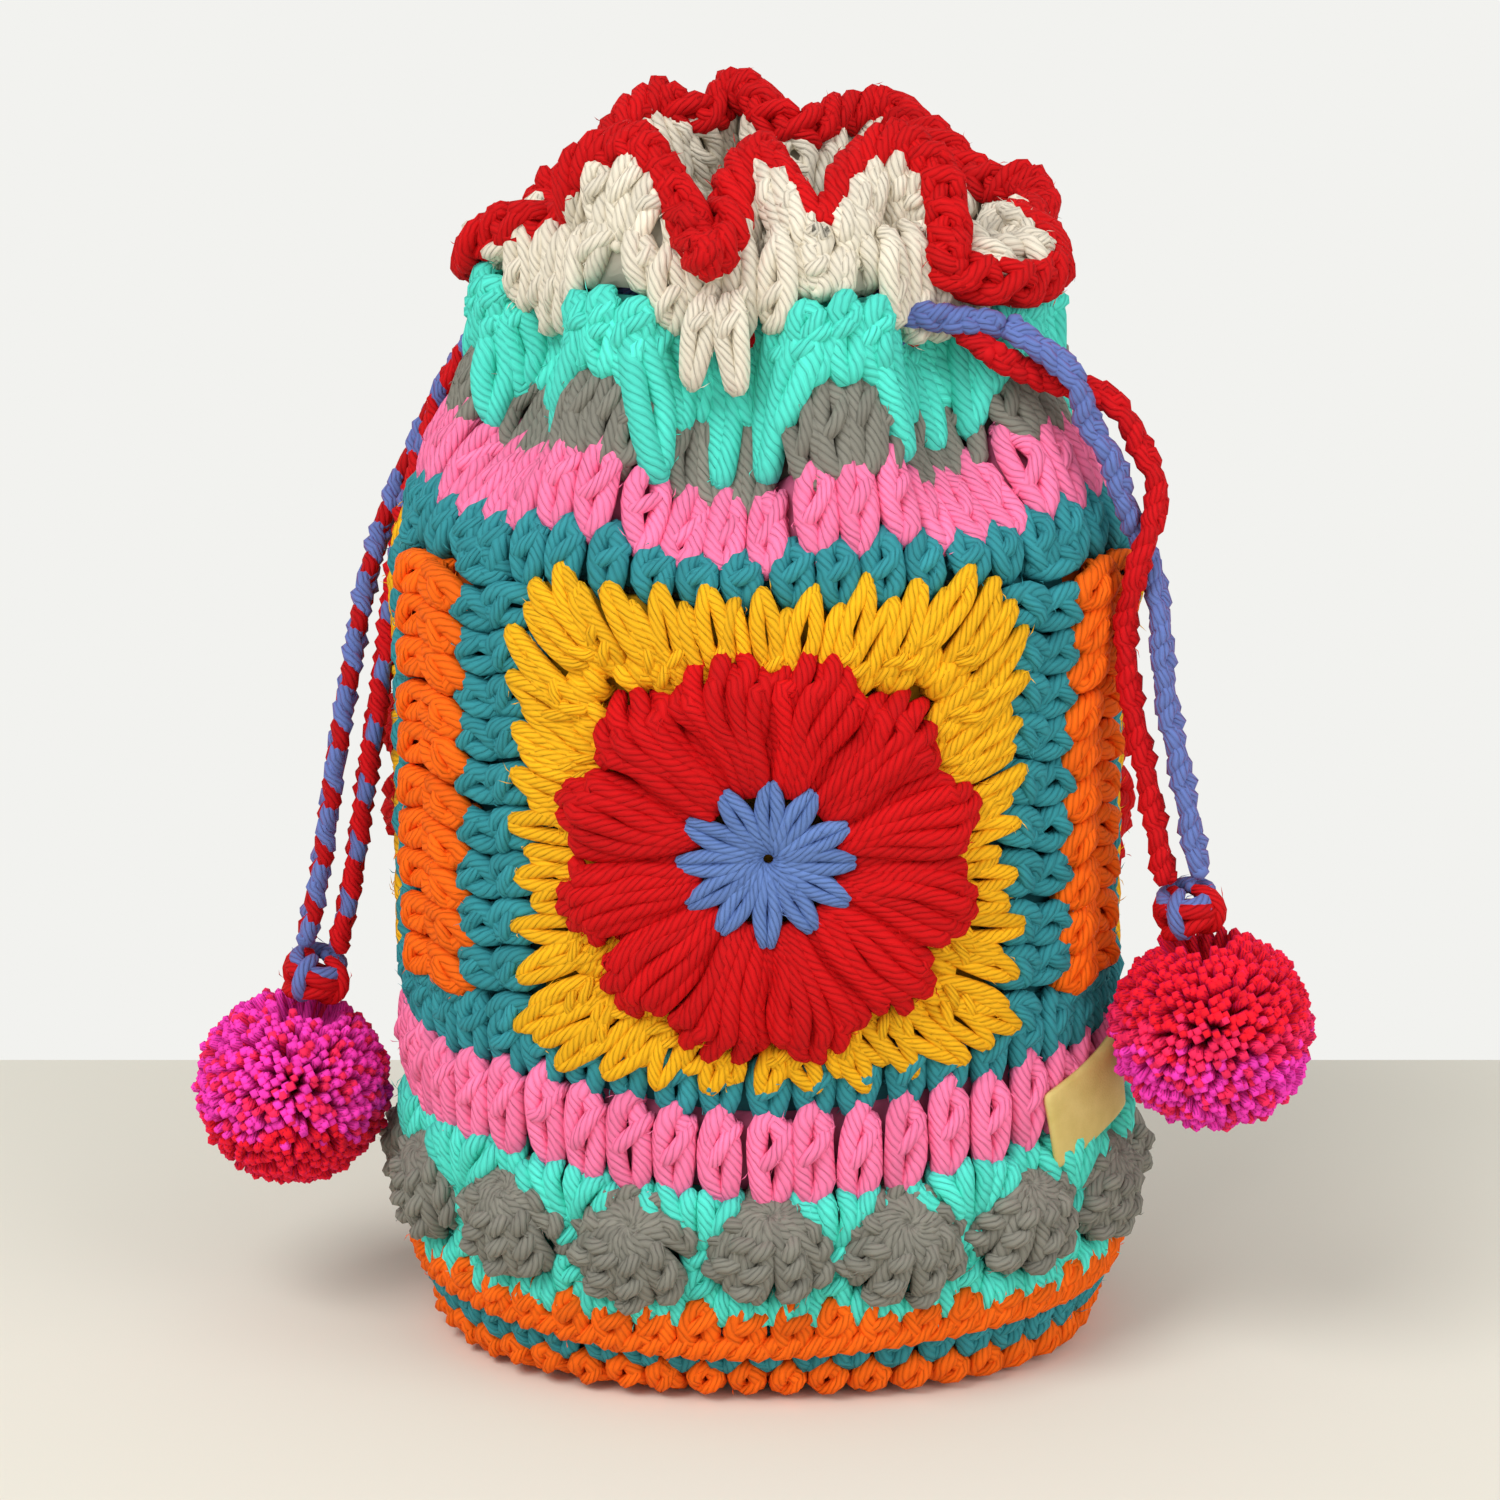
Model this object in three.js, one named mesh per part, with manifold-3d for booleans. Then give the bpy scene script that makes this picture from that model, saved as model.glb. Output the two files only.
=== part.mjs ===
// Crocheted drawstring pouch: three flower squares joined round a stuffed bag, a gathered neck
// with a ruffled collar, and two drawstrings that end in pompoms.
// Millimetres, +Z up, the front towards -Y, origin under the middle of the base.
import * as THREE from 'three';
import { mergeVertices } from 'three/addons/utils/BufferGeometryUtils.js';
import Module from 'manifold-3d';

const wasm = await Module();
wasm.setup();

// Driving dimensions: the body
const bodyRadius = 62.3; // mean outside radius of the stuffed body
const footRadius = 58.5; // outside radius just above the base
const footWidening = 60; // height over which the foot widens to the body
const cornerSwell = 0.06; // share by which the three seams stand out and the panels lie flat
const wall = 5; // thickness of the crocheted wall
const clearance = 0.3; // gap between pieces that touch
const seatGap = 0.6; // gap under pieces that lie on a curved face
const stitchCount = 51; // stitches in one round
const stitchPuff = 1.3; // how far one stitch stands out of its round

// Driving dimensions: heights of the rounds
const baseThickness = 4.6;
const footTop = 6.8;
const baseTealTop = 13.8;
const ridgeTop = 17.8;
const bobbleRoundTop = 45.5;
const pinkLowerTop = 59.5;
const panelTop = 145.5;
const tealUpperTop = 154;
const pinkUpperTop = 166;
const greyTop = 172;
const neckLow = 177.5; // top of the turquoise round, under the drawstrings
const neckHigh = 189.6; // foot of the collar, over the drawstrings

// Driving dimensions: base and ridge
const baseCentreRadius = 48;
const footRounding = 6.5; // radius of the rounded edge under the foot
const ridgeReach = 3.4; // how far the ridge stands out of the wall
const ridgeLip = 8; // how far the ridge's lip hangs down at the front
const sideLip = 4.4; // and how far at the sides and the back

// Driving dimensions: gathers
const pleatCount = 8;
const firstCrest = 0.0375; // place of the first crest, as a share of one turn
const pleatDepth = 11.5;
const pleatSharpness = 1.6;
const shoulderStart = 140;
const gatherStart = 150;
const neckRadius = 47.5; // outside radius on the crests
const neckWall = 4.5;
const valleyDrop = 6.5; // how far the rounds slump in the front valleys
const frontSag = 6.5; // how far the lower rounds sag at the front
const frontDip = 4.5; // how far the upper rounds dip at the front
const greyInset = 1.5; // the grey round lies this far back
const sideDip = 3.2; // how far the right side is drawn in at half height
const dipStart = 40; // the dip grows from here
const dipLow = 75; // to here, where it is full,
const dipHigh = 112; // and fades from here to the shoulder
const dipTurn = 0.23; // place of the dip round the body

// Driving dimensions: bobbles
const bobbleCount = 17;
const bobbleWidth = 20.5;
const bobbleHeight = 20;
const bobbleReach = 6.8;
const bobbleCentre = 30.6;
const bobbleRoundInset = 1.2; // the round behind the bobbles lies this far back

// Driving dimensions: the flower squares
const panelCount = 3;
const seamWidth = 18;
const seamLow = 71;
const sideBorder = 17;
const lowerBorder = 8;
const upperBorder = 1.4;
const groundThickness = 4.4;
const petalCount = 12;
const flowerRadius = 37;
const flowerHeight = 98;
const eyeRadius = 12.5;
const petalReach = 7;
const petalNotch = 3.5;

// Driving dimensions: collar
const collarThickness = 3.6;
const edgingHeight = 6;
const edgingThickness = 5.4;
const edgingGap = 0.45; // gap between the edging and the collar
const crumbSize = 0.1; // edges shorter than this are left out of the cut edging
const largestPull = 0.4; // the edging takes up no more than this share of the collar
const flareShare = 0.25; // how far out the collar bends first, as a share of the way to its rim
const flareRise = 0.45; // how high it bends, as a share of its height
const leastRise = 6; // height taken for the bend where the rim lies low
const tabHalfAngle = 6.5; // degrees, half the width of a tab between the gathers

// Driving dimensions: lining and tag
const liningThickness = 1;
const liningGap = 2.3;
const liningTop = 157;
const liningFloorInset = 5; // how much further in the lining's corner lies on the floor
const liningStations = 24;
const tagWidth = 22;
const tagHeight = 15;
const tagThickness = 1.3;
const tagTurn = 0.152;
const tagCentre = 50;
const tagTilt = 14; // degrees

// Driving dimensions: drawstrings, knots and pompoms
const cordDiameter = 5.2;
const cordSides = 7;
const cordSteps = 46; // steps along each drawstring
const cordLoopRadius = 39.8;
const leftCordHeight = 180.9;
const rightCordHeight = 186.5;
const leftExit = -99; // degrees from the front, to the right
const rightExit = 36;
const loopSteps = 24;
const loopOpening = 11; // degrees left free at each side of the place where the cord leaves
const leaveTurn = 4.4; // degrees between each half of the cord and the place where it leaves
const leaveReach = 5.5; // how far outside the loop the cord leaves
const leaveDrop = 1.6; // and how far below it
const turnedPoints = 6; // over this many points of a tail its halves turn to face the front
const knotWidth = 12;
const knotHeight = 8;
const pompomRadius = 16.8;

const degree = Math.PI / 180;

// Collar rim, one row for each turning point of the ruffle, in order round the mouth:
// angle at the neck, angle at the rim, distance from the axis beyond the neck, rise over the neck.
// These are points of the edging's outer edge.
const rimPoints = [
  [-99, -95, 0.5, -4],
  [-86, -83, 3.5, 0],
  [-70, -70, 1, 8],
  [-58, -55, -6, 11],
  [-50, -49, -1.5, 18],
  [-42, -42, -5, 25],
  [-32, -31, -7.5, 27],
  [-24, -23, -6.5, 21],
  [-18, -17.5, 1.5, 12],
  [-13, -11.5, 6, 6],
  [-8, -6, -1, 11],
  [-3, -9, -13, 19.5],
  [1, -6, -19, 25],
  [7, 3, -16, 23],
  [13, 12, -8.5, 15],
  [18, 20, -13, 21],
  [24, 30, -14.5, 25],
  [30, 38, -10.5, 26.5],
  [34, 42, -4.5, 21],
  [38, 39, 1, 11],
  [42, 37, 3, 2],
  [52, 50, 4, -0.5],
  [62, 64, 4.5, 0.5],
  [74, 76, 4.5, 5],
  [84, 85, -0.5, 7],
  [95, 98, 3, 10],
  [105, 107, 1.5, 15],
  [116, 117, -3.5, 15],
  [130, 131, -4, 20],
  [144, 147, 0, 25],
  [155, 156, 0.5, 26],
  [164, 164, -6, 24.5],
  [172, 172, -13.5, 24],
  [181, 182, -5.5, 29],
  [190, 190, -1, 29],
  [199, 198, -7.5, 26],
  [206, 205, -1.5, 27.5],
  [216, 215, -1.5, 24],
  [229, 228, -6, 18],
  [240, 240, 0, 11],
  [251, 253, -3.5, 3],
];

// Drawstring tails, from the collar down to the knot, as points chosen along the real route
const leftTail = [
  [-51.5, 10, 174.5],
  [-57, 13, 165.5],
  [-61.5, 13, 155],
  [-65.8, 9, 143.5],
  [-68.4, 0, 131.4],
  [-70.4, -8, 116.7],
  [-71.9, -11, 107.5],
  [-73.8, -12, 95.7],
  [-75.9, -12, 82.5],
  [-79.1, -12, 68],
];
const rightTail = [
  [38.1, -38, 180.5],
  [47.4, -37, 174.7],
  [54.9, -36, 168.3],
  [59.6, -36, 161.1],
  [62, -36, 153.7],
  [62.8, -36.5, 143.1],
  [62.8, -37, 132.6],
  [64, -37.5, 120.2],
  [66.6, -38.5, 107.8],
  [69, -39.5, 95.5],
  [70.5, -40, 88.3],
];

const smooth = (value, low, high) => THREE.MathUtils.smoothstep(value, low, high);

// Outline of the body seen from above: nearly round, flatter at the three panels
const outlineSteps = 720;
const outlineRadius = (angle, swell) => 1 - swell * Math.cos(3 * angle);
const outlineLengths = [0];
for (let i = 1; i <= outlineSteps; i += 1) {
  const step = (2 * Math.PI) / outlineSteps;
  const before = outlineRadius((i - 1) * step, cornerSwell);
  const after = outlineRadius(i * step, cornerSwell);
  outlineLengths.push(outlineLengths[i - 1] + Math.hypot(((before + after) / 2) * step, after - before));
}
const perimeter = outlineLengths[outlineSteps] * bodyRadius;

// Turns a share of the way round, 0 at the front and growing to the right, into an angle
function angleAt(turn) {
  const share = turn - Math.floor(turn);
  const wanted = share * outlineLengths[outlineSteps];
  let i = Math.min(outlineSteps - 1, Math.floor(share * outlineSteps));
  while (i > 0 && outlineLengths[i] > wanted) i -= 1;
  while (i < outlineSteps - 1 && outlineLengths[i + 1] < wanted) i += 1;
  const part = (wanted - outlineLengths[i]) / (outlineLengths[i + 1] - outlineLengths[i]);
  return ((i + part) * 2 * Math.PI) / outlineSteps;
}

// Place round the body as a signed share of one turn, 0 at the front
const signedTurn = (turn) => turn - Math.round(turn);

// 1 in the valleys of the gathers and 0 on their crests
function valley(turn) {
  const wave = Math.tanh(pleatSharpness * Math.cos(2 * Math.PI * pleatCount * (turn - firstCrest)));
  return (1 - wave / Math.tanh(pleatSharpness)) / 2;
}

// Height lost where the soft rounds slump
function slump(turn, height) {
  const front = signedTurn(turn);
  const low = smooth(height, 20, 46) * (1 - smooth(height, 68, 112));
  const high = smooth(height, panelTop, pinkUpperTop - 4) * (1 - smooth(height, pinkUpperTop, neckLow));
  const upper = smooth(height, 100, panelTop) * (1 - smooth(height, pinkUpperTop, neckLow));
  const frontShare = 0.4 + 0.6 * Math.exp(-((front / 0.15) ** 2));
  const middle = frontSag * low * Math.exp(-((front / 0.095) ** 2));
  const dip = frontDip * upper * Math.exp(-((front / 0.11) ** 2));
  return middle + dip + valleyDrop * valley(turn) * frontShare * high;
}

// Share of the way from the body up to the neck
const shoulder = (height) => THREE.MathUtils.clamp((height - shoulderStart) / (neckLow - shoulderStart), 0, 1);

// How far the right side of the body is drawn in
function sideDraw(turn, height) {
  const level = smooth(height, dipStart, dipLow) * (1 - smooth(height, dipHigh, shoulderStart));
  return sideDip * level * Math.exp(-((signedTurn(turn - dipTurn) / 0.1) ** 2));
}

// Outside radius of the wall
function wallRadius(turn, height) {
  const angle = angleAt(turn);
  const rise = shoulder(height);
  const foot = footRadius + (bodyRadius - footRadius) * smooth(height, 0, footWidening);
  const mean = foot + (neckRadius - bodyRadius) * rise ** 1.5 - sideDraw(turn, height);
  const swell = outlineRadius(angle, cornerSwell * (1 - rise));
  return mean * swell - pleatDepth * valley(turn) * smooth(height, gatherStart, neckLow);
}

// A point of the wall; reach is measured outwards from its outside face
function wallPoint(turn, height, reach = 0) {
  const angle = angleAt(turn);
  const radius = wallRadius(turn, height) + reach;
  return new THREE.Vector3(radius * Math.sin(angle), -radius * Math.cos(angle), height - slump(turn, height));
}

// A point at a plain angle and distance from the axis
function polarPoint(angle, radius, height) {
  return new THREE.Vector3(radius * Math.sin(angle), -radius * Math.cos(angle), height);
}

// Geometry from points and triangles, its faces turned out
function solidFrom(points, triangles) {
  const volume = triangles.reduce((sum, [a, b, c]) => {
    const across = new THREE.Vector3().crossVectors(points[b], points[c]);
    return sum + points[a].dot(across);
  }, 0);
  const index = triangles.flatMap(([a, b, c]) => (volume > 0 ? [a, b, c] : [a, c, b]));
  const geometry = new THREE.BufferGeometry();
  geometry.setAttribute('position', new THREE.Float32BufferAttribute(points.flatMap((p) => p.toArray()), 3));
  geometry.setIndex(index);
  return geometry;
}

// Closed ring: a section, given as a list of points, carried round and joined to its start
function closedRing(stations, section) {
  const points = [];
  for (let i = 0; i < stations; i += 1) {
    points.push(...section(i));
  }
  const count = points.length / stations;
  const triangles = [];
  for (let i = 0; i < stations; i += 1) {
    const next = (i + 1) % stations;
    for (let j = 0; j < count; j += 1) {
      const up = (j + 1) % count;
      const [a, b, c, d] = [i * count + j, next * count + j, next * count + up, i * count + up];
      triangles.push([a, b, c], [a, c, d]);
    }
  }
  return solidFrom(points, triangles);
}

// Closed plate between a front face and a back face, both given over a grid of u and v from 0 to 1
function closedPlate(across, along, front, back) {
  const points = [];
  const place = (i, j, side) => (side * (across + 1) + i) * (along + 1) + j;
  for (const face of [front, back]) {
    for (let i = 0; i <= across; i += 1) {
      for (let j = 0; j <= along; j += 1) {
        points.push(face(i / across, j / along));
      }
    }
  }
  const triangles = [];
  for (let i = 0; i < across; i += 1) {
    for (let j = 0; j < along; j += 1) {
      const f = [place(i, j, 0), place(i + 1, j, 0), place(i + 1, j + 1, 0), place(i, j + 1, 0)];
      const b = [place(i, j, 1), place(i + 1, j, 1), place(i + 1, j + 1, 1), place(i, j + 1, 1)];
      triangles.push([f[0], f[1], f[2]], [f[0], f[2], f[3]], [b[0], b[2], b[1]], [b[0], b[3], b[2]]);
    }
  }
  const edge = [];
  for (let i = 0; i < across; i += 1) edge.push([i, 0]);
  for (let j = 0; j < along; j += 1) edge.push([across, j]);
  for (let i = across; i > 0; i -= 1) edge.push([i, along]);
  for (let j = along; j > 0; j -= 1) edge.push([0, j]);
  edge.forEach(([i, j], k) => {
    const [m, n] = edge[(k + 1) % edge.length];
    const [a, b, c, d] = [place(i, j, 0), place(m, n, 0), place(m, n, 1), place(i, j, 1)];
    triangles.push([a, c, b], [a, d, c]);
  });
  return solidFrom(points, triangles);
}

// Closed geometry as a solid that can be joined and cut, and back again
function toSolid(geometry) {
  const mesh = new wasm.Mesh({
    numProp: 3,
    vertProperties: Float32Array.from(geometry.attributes.position.array),
    triVerts: Uint32Array.from(geometry.index.array),
  });
  return new wasm.Manifold(mesh);
}
function fromSolid(solid) {
  const mesh = solid.getMesh();
  const geometry = new THREE.BufferGeometry();
  geometry.setAttribute('position', new THREE.Float32BufferAttribute(mesh.vertProperties, 3));
  geometry.setIndex([...mesh.triVerts]);
  return geometry;
}
const joined = (geometries) => fromSolid(geometries.map(toSolid).reduce((sum, solid) => sum.add(solid)));

// Yarn colours
const colours = {
  teal: 0x2d9196,
  orange: 0xfa690f,
  turquoise: 0x55e1cd,
  grey: 0x69645f,
  pink: 0xeb6ea0,
  yellow: 0xf5b419,
  red: 0xc80a0f,
  blue: 0x5a73b9,
  cream: 0xd7c8aa,
  beige: 0xc9bb8f,
  tan: 0xd7be69,
  magenta: 0xd728a0,
};

const pouch = new THREE.Group();

function addPiece(name, geometry, colour) {
  const roughness = colour === 'tan' ? 0.6 : 0.95;
  const material = new THREE.MeshStandardMaterial({ color: colours[colour], roughness, metalness: 0 });
  const mesh = new THREE.Mesh(geometry, material);
  mesh.name = name;
  pouch.add(mesh);
  return mesh;
}

// A round of the wall between two heights, with a puff on each stitch if asked
function wallRound(low, high, { perStitch = 1, puff = 0, inset = 0 } = {}) {
  const stations = stitchCount * perStitch;
  return closedRing(stations, (i) => {
    const turn = i / stations;
    const face = i % perStitch === 0 ? puff - inset : -inset;
    const bottom = low + clearance / 2;
    const top = high - clearance / 2;
    return [
      wallPoint(turn, bottom, face),
      wallPoint(turn, top, face),
      wallPoint(turn, top, -wall),
      wallPoint(turn, bottom, -wall),
    ];
  });
}

// Base: a flat centre, a rounded foot round it and the first round of the wall
function addBase() {
  const rim = (turn, radius, height) => {
    const angle = angleAt(turn);
    return polarPoint(angle, radius * outlineRadius(angle, cornerSwell), height);
  };
  const sides = stitchCount;
  const points = [new THREE.Vector3(0, 0, 0), new THREE.Vector3(0, 0, baseThickness)];
  const triangles = [];
  for (let i = 0; i < sides; i += 1) {
    points.push(rim(i / sides, baseCentreRadius, 0), rim(i / sides, baseCentreRadius, baseThickness));
    const [a, b] = [2 + 2 * i, 2 + 2 * ((i + 1) % sides)];
    triangles.push([0, b, a], [1, a + 1, b + 1], [a, b, b + 1], [a, b + 1, a + 1]);
  }
  addPiece('base_centre', solidFrom(points, triangles), 'teal');

  const footInner = baseCentreRadius + clearance;
  const lift = footRounding * (1 - Math.SQRT1_2);
  const foot = closedRing(sides, (i) => {
    const turn = i / sides;
    const outside = wallRadius(turn, footTop) / outlineRadius(angleAt(turn), cornerSwell);
    return [
      rim(turn, footInner, 0),
      rim(turn, outside - footRounding, 0),
      rim(turn, outside - lift, lift),
      rim(turn, outside, footTop - clearance / 2),
      rim(turn, footInner, footTop - clearance / 2),
    ];
  });
  addPiece('base_orange_round', foot, 'orange');
  addPiece('base_teal_round', wallRound(footTop, baseTealTop), 'teal');
}

// Ridge worked proud of the wall, its lip hanging over the round below
function addRidge() {
  const ridge = closedRing(stitchCount, (i) => {
    const turn = i / stitchCount;
    const low = baseTealTop + clearance / 2;
    const top = ridgeTop - clearance / 2;
    const front = Math.exp(-((signedTurn(turn + 0.02) / 0.1) ** 2));
    const lip = ridgeTop - THREE.MathUtils.lerp(sideLip, ridgeLip, front);
    return [
      wallPoint(turn, low, -wall),
      wallPoint(turn, low, clearance * 2),
      wallPoint(turn, lip, clearance * 3),
      wallPoint(turn, lip, ridgeReach),
      wallPoint(turn, top, ridgeReach * 0.6),
      wallPoint(turn, top, -wall),
    ];
  });
  addPiece('orange_ridge', ridge, 'orange');
}

// Geometry with merged corners and its faces turned out, from one of the standard shapes
function tidySolid(geometry) {
  geometry.deleteAttribute('normal');
  geometry.deleteAttribute('uv');
  const merged = mergeVertices(geometry, 1e-3);
  const places = merged.attributes.position;
  const points = [];
  for (let i = 0; i < places.count; i += 1) points.push(new THREE.Vector3().fromBufferAttribute(places, i));
  const triangles = [];
  for (let i = 0; i < merged.index.count; i += 3) {
    const [a, b, c] = [0, 1, 2].map((k) => merged.index.getX(i + k));
    if (a !== b && b !== c && c !== a) triangles.push([a, b, c]);
  }
  return solidFrom(points, triangles);
}

// Matrix that sets a shape on the wall: its X along the round, its Y outwards, its Z up the wall
function wallFrame(turn, height, reach) {
  const across = wallPoint(turn + 0.004, height).sub(wallPoint(turn - 0.004, height)).setZ(0).normalize();
  const rise = wallPoint(turn, height + 6).sub(wallPoint(turn, height - 6)).normalize();
  const out = new THREE.Vector3().crossVectors(across, rise).normalize();
  const up = new THREE.Vector3().crossVectors(out, across);
  return new THREE.Matrix4().makeBasis(across, out, up).setPosition(wallPoint(turn, height, reach));
}

// Popcorn stitches: round cushions that stand out of the turquoise round
function addBobbles() {
  const round = wallRound(ridgeTop, bobbleRoundTop, { inset: bobbleRoundInset });
  addPiece('turquoise_round_lower', round, 'turquoise');
  const profile = [[0, 0], [0.7, 0], [1, 0.42], [0.72, 0.86], [0, 1]];
  for (let i = 0; i < bobbleCount; i += 1) {
    const geometry = new THREE.LatheGeometry(profile.map(([x, y]) => new THREE.Vector2(x, y)), 8);
    geometry.scale(bobbleWidth / 2, bobbleReach, bobbleHeight / 2);
    geometry.applyMatrix4(wallFrame(i / bobbleCount, bobbleCentre, seatGap - bobbleRoundInset));
    addPiece(`bobble_${String(i + 1).padStart(2, '0')}`, tidySolid(geometry), 'grey');
  }
}

// Lengths on the wall as shares of one turn
const turnsFor = (length) => length / perimeter;

// One flower square: a teal border, a yellow ground inside it, twelve petals and an eye
function addPanel(side, middle) {
  const low = pinkLowerTop + clearance / 2;
  const high = panelTop - clearance / 2;
  const halfPanel = (perimeter / panelCount - seamWidth) / 2 - clearance / 2;
  const halfShare = perimeter / panelCount / 2 - clearance / 2;
  const holeHalf = halfPanel - sideBorder;
  const holeLow = low + lowerBorder;
  const holeHigh = high - upperBorder;
  const at = (along, height, reach) => wallPoint(middle + turnsFor(along), height, reach);

  // Border: outer corners paired with points of the hole, anticlockwise from the lower left
  const lowSteps = 14;
  const highSteps = 10;
  const pairs = [];
  for (let i = 0; i < lowSteps; i += 1) {
    const share = (2 * i) / lowSteps - 1;
    pairs.push([share * halfShare, low, share * holeHalf, holeLow]);
  }
  const rise = (share) => holeLow + share * (holeHigh - holeLow);
  const sideRows = [
    [halfShare, low, 0],
    [halfShare, seamLow, 0.03],
    [halfPanel, seamLow, 0.05],
    [halfPanel, (seamLow + high) / 2, 0.5],
    [halfPanel, high, 1],
  ];
  sideRows.forEach(([along, height, share]) => pairs.push([along, height, holeHalf, rise(share)]));
  for (let i = 1; i < highSteps; i += 1) {
    const share = 1 - (2 * i) / highSteps;
    pairs.push([share * halfPanel, high, share * holeHalf, holeHigh]);
  }
  const leftRows = sideRows.slice(1).reverse();
  leftRows.forEach(([along, height, share]) => pairs.push([-along, height, -holeHalf, rise(share)]));
  const frame = closedRing(pairs.length, (i) => {
    const [outAlong, outHeight, inAlong, inHeight] = pairs[i];
    const across = (share, reach) => {
      const along = THREE.MathUtils.lerp(outAlong, inAlong, share);
      return at(along, THREE.MathUtils.lerp(outHeight, inHeight, share), reach);
    };
    return [across(0, 0), across(0.5, 0), across(1, 0), across(1, -wall), across(0, -wall)];
  });
  addPiece(`${side}_teal_border`, frame, 'teal');

  // Ground
  const groundHalf = holeHalf - clearance;
  const grid = (reach) => (u, v) => {
    const height = THREE.MathUtils.lerp(holeLow + clearance, holeHigh - clearance, v);
    return at((2 * u - 1) * groundHalf, height, reach);
  };
  addPiece(`${side}_yellow_ground`, closedPlate(8, 4, grid(0), grid(-groundThickness)), 'yellow');

  // Petals: a fan of twelve cushions round the eye
  const stationsPerPetal = 3;
  const stations = petalCount * stationsPerPetal;
  const onFlower = (angle, radius, reach) => {
    const height = flowerHeight + radius * Math.cos(angle);
    return at(radius * Math.sin(angle), height, reach).setZ(height);
  };
  const petals = closedRing(stations, (i) => {
    const angle = (2 * Math.PI * i) / stations;
    const swell = i % stationsPerPetal === 0 ? 0 : 1;
    const tip = flowerRadius - petalNotch * (1 - swell);
    const crest = petalReach * (0.55 + 0.45 * swell);
    return [
      onFlower(angle, eyeRadius + clearance, seatGap),
      onFlower(angle, eyeRadius + clearance, petalReach * 0.45),
      onFlower(angle, (eyeRadius + 2 * tip) / 3, crest),
      onFlower(angle, tip, crest * 0.62),
      onFlower(angle, tip - 1.2, seatGap),
      onFlower(angle, (eyeRadius + tip) / 2, seatGap),
    ];
  });
  addPiece(`${side}_flower_petals`, petals, 'red');

  const eye = new THREE.LatheGeometry(
    [[0, 0], [1, 0], [0.94, 0.6], [0.5, 1], [0, 0.55]].map(([x, y]) => new THREE.Vector2(x, y)),
    petalCount,
  );
  eye.scale(eyeRadius, petalReach * 0.5, eyeRadius);
  eye.applyMatrix4(wallFrame(middle, flowerHeight, seatGap));
  eye.translate(0, 0, slump(middle, flowerHeight));
  addPiece(`${side}_flower_eye`, tidySolid(eye), 'blue');
}

// Joining strips between the squares
function addSeam(place, middle) {
  const half = seamWidth / 2 - clearance / 2;
  const grid = (crown, reach) => (u, v) => {
    const height = THREE.MathUtils.lerp(seamLow + clearance, panelTop - clearance / 2, v);
    const bulge = crown * Math.sin(Math.PI * u);
    return wallPoint(middle + turnsFor((2 * u - 1) * half), height, reach + bulge);
  };
  addPiece(`${place}_orange_seam`, closedPlate(2, 6, grid(1.5, 0), grid(0, -wall)), 'orange');
}

function addPanels() {
  const puffed = { perStitch: 2, puff: stitchPuff };
  addPiece('pink_round_lower', wallRound(bobbleRoundTop, pinkLowerTop, puffed), 'pink');
  ['front', 'right', 'left'].forEach((side, i) => addPanel(side, i / panelCount));
  ['right', 'back', 'left'].forEach((place, i) => addSeam(place, (i + 0.5) / panelCount));
}

// Rounds between the squares and the neck; the turquoise one stands up in a tab on each crest
function addShoulder() {
  addPiece('teal_round_upper', wallRound(panelTop, tealUpperTop, { perStitch: 2 }), 'teal');
  const puffed = { perStitch: 2, puff: stitchPuff };
  addPiece('pink_round_upper', wallRound(tealUpperTop, pinkUpperTop, puffed), 'pink');
  addPiece('grey_round', wallRound(pinkUpperTop, greyTop, { perStitch: 2, inset: greyInset }), 'grey');
  const ring = wallRound(greyTop, neckLow, { perStitch: 2 });
  const tabs = pleatPosts(firstCrest, neckRadius, (greyTop + neckLow) / 2, neckHigh - clearance);
  addPiece('turquoise_round_upper', joined([ring, ...tabs]), 'turquoise');
}

// Upright tabs, one in each gather, that the drawstrings pass behind or in front of
function pleatPosts(firstTurn, radius, low, high) {
  const halfAngle = tabHalfAngle * degree;
  const posts = [];
  for (let i = 0; i < pleatCount; i += 1) {
    const middle = angleAt(firstTurn + i / pleatCount);
    const face = (reach) => (u, v) => {
      const angle = middle + (2 * u - 1) * halfAngle;
      return polarPoint(angle, radius + reach, THREE.MathUtils.lerp(low, high, v));
    };
    posts.push(closedPlate(1, 1, face(0), face(-neckWall)));
  }
  return posts;
}

// Foot of the collar at an angle round the neck
function collarFoot(angle) {
  const turn = angle / (2 * Math.PI);
  return polarPoint(angle, neckRadius - pleatDepth * valley(turn), neckHigh);
}

// Ruffled rim as a closed curve. It lies below the edging's outer edge by the height of the edging,
// or by a part of the collar's height where the collar is low.
const rimCurve = new THREE.CatmullRomCurve3(
  rimPoints.map(([root, angle, reach, rise]) => {
    const outer = polarPoint(angle * degree, neckRadius + reach, neckHigh + rise);
    const down = collarFoot(root * degree).sub(outer);
    return outer.addScaledVector(down, Math.min(edgingHeight / down.length(), largestPull));
  }),
  true,
  'centripetal',
);

// Angle at the neck of the part of the collar that reaches the rim at a place along it
function rimRoot(share) {
  const place = share * rimPoints.length;
  const i = Math.floor(place) % rimPoints.length;
  const next = i + 1 < rimPoints.length ? rimPoints[i + 1][0] : rimPoints[0][0] + 360;
  return rimPoints[i][0] + (place - Math.floor(place)) * (next - rimPoints[i][0]);
}

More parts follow.
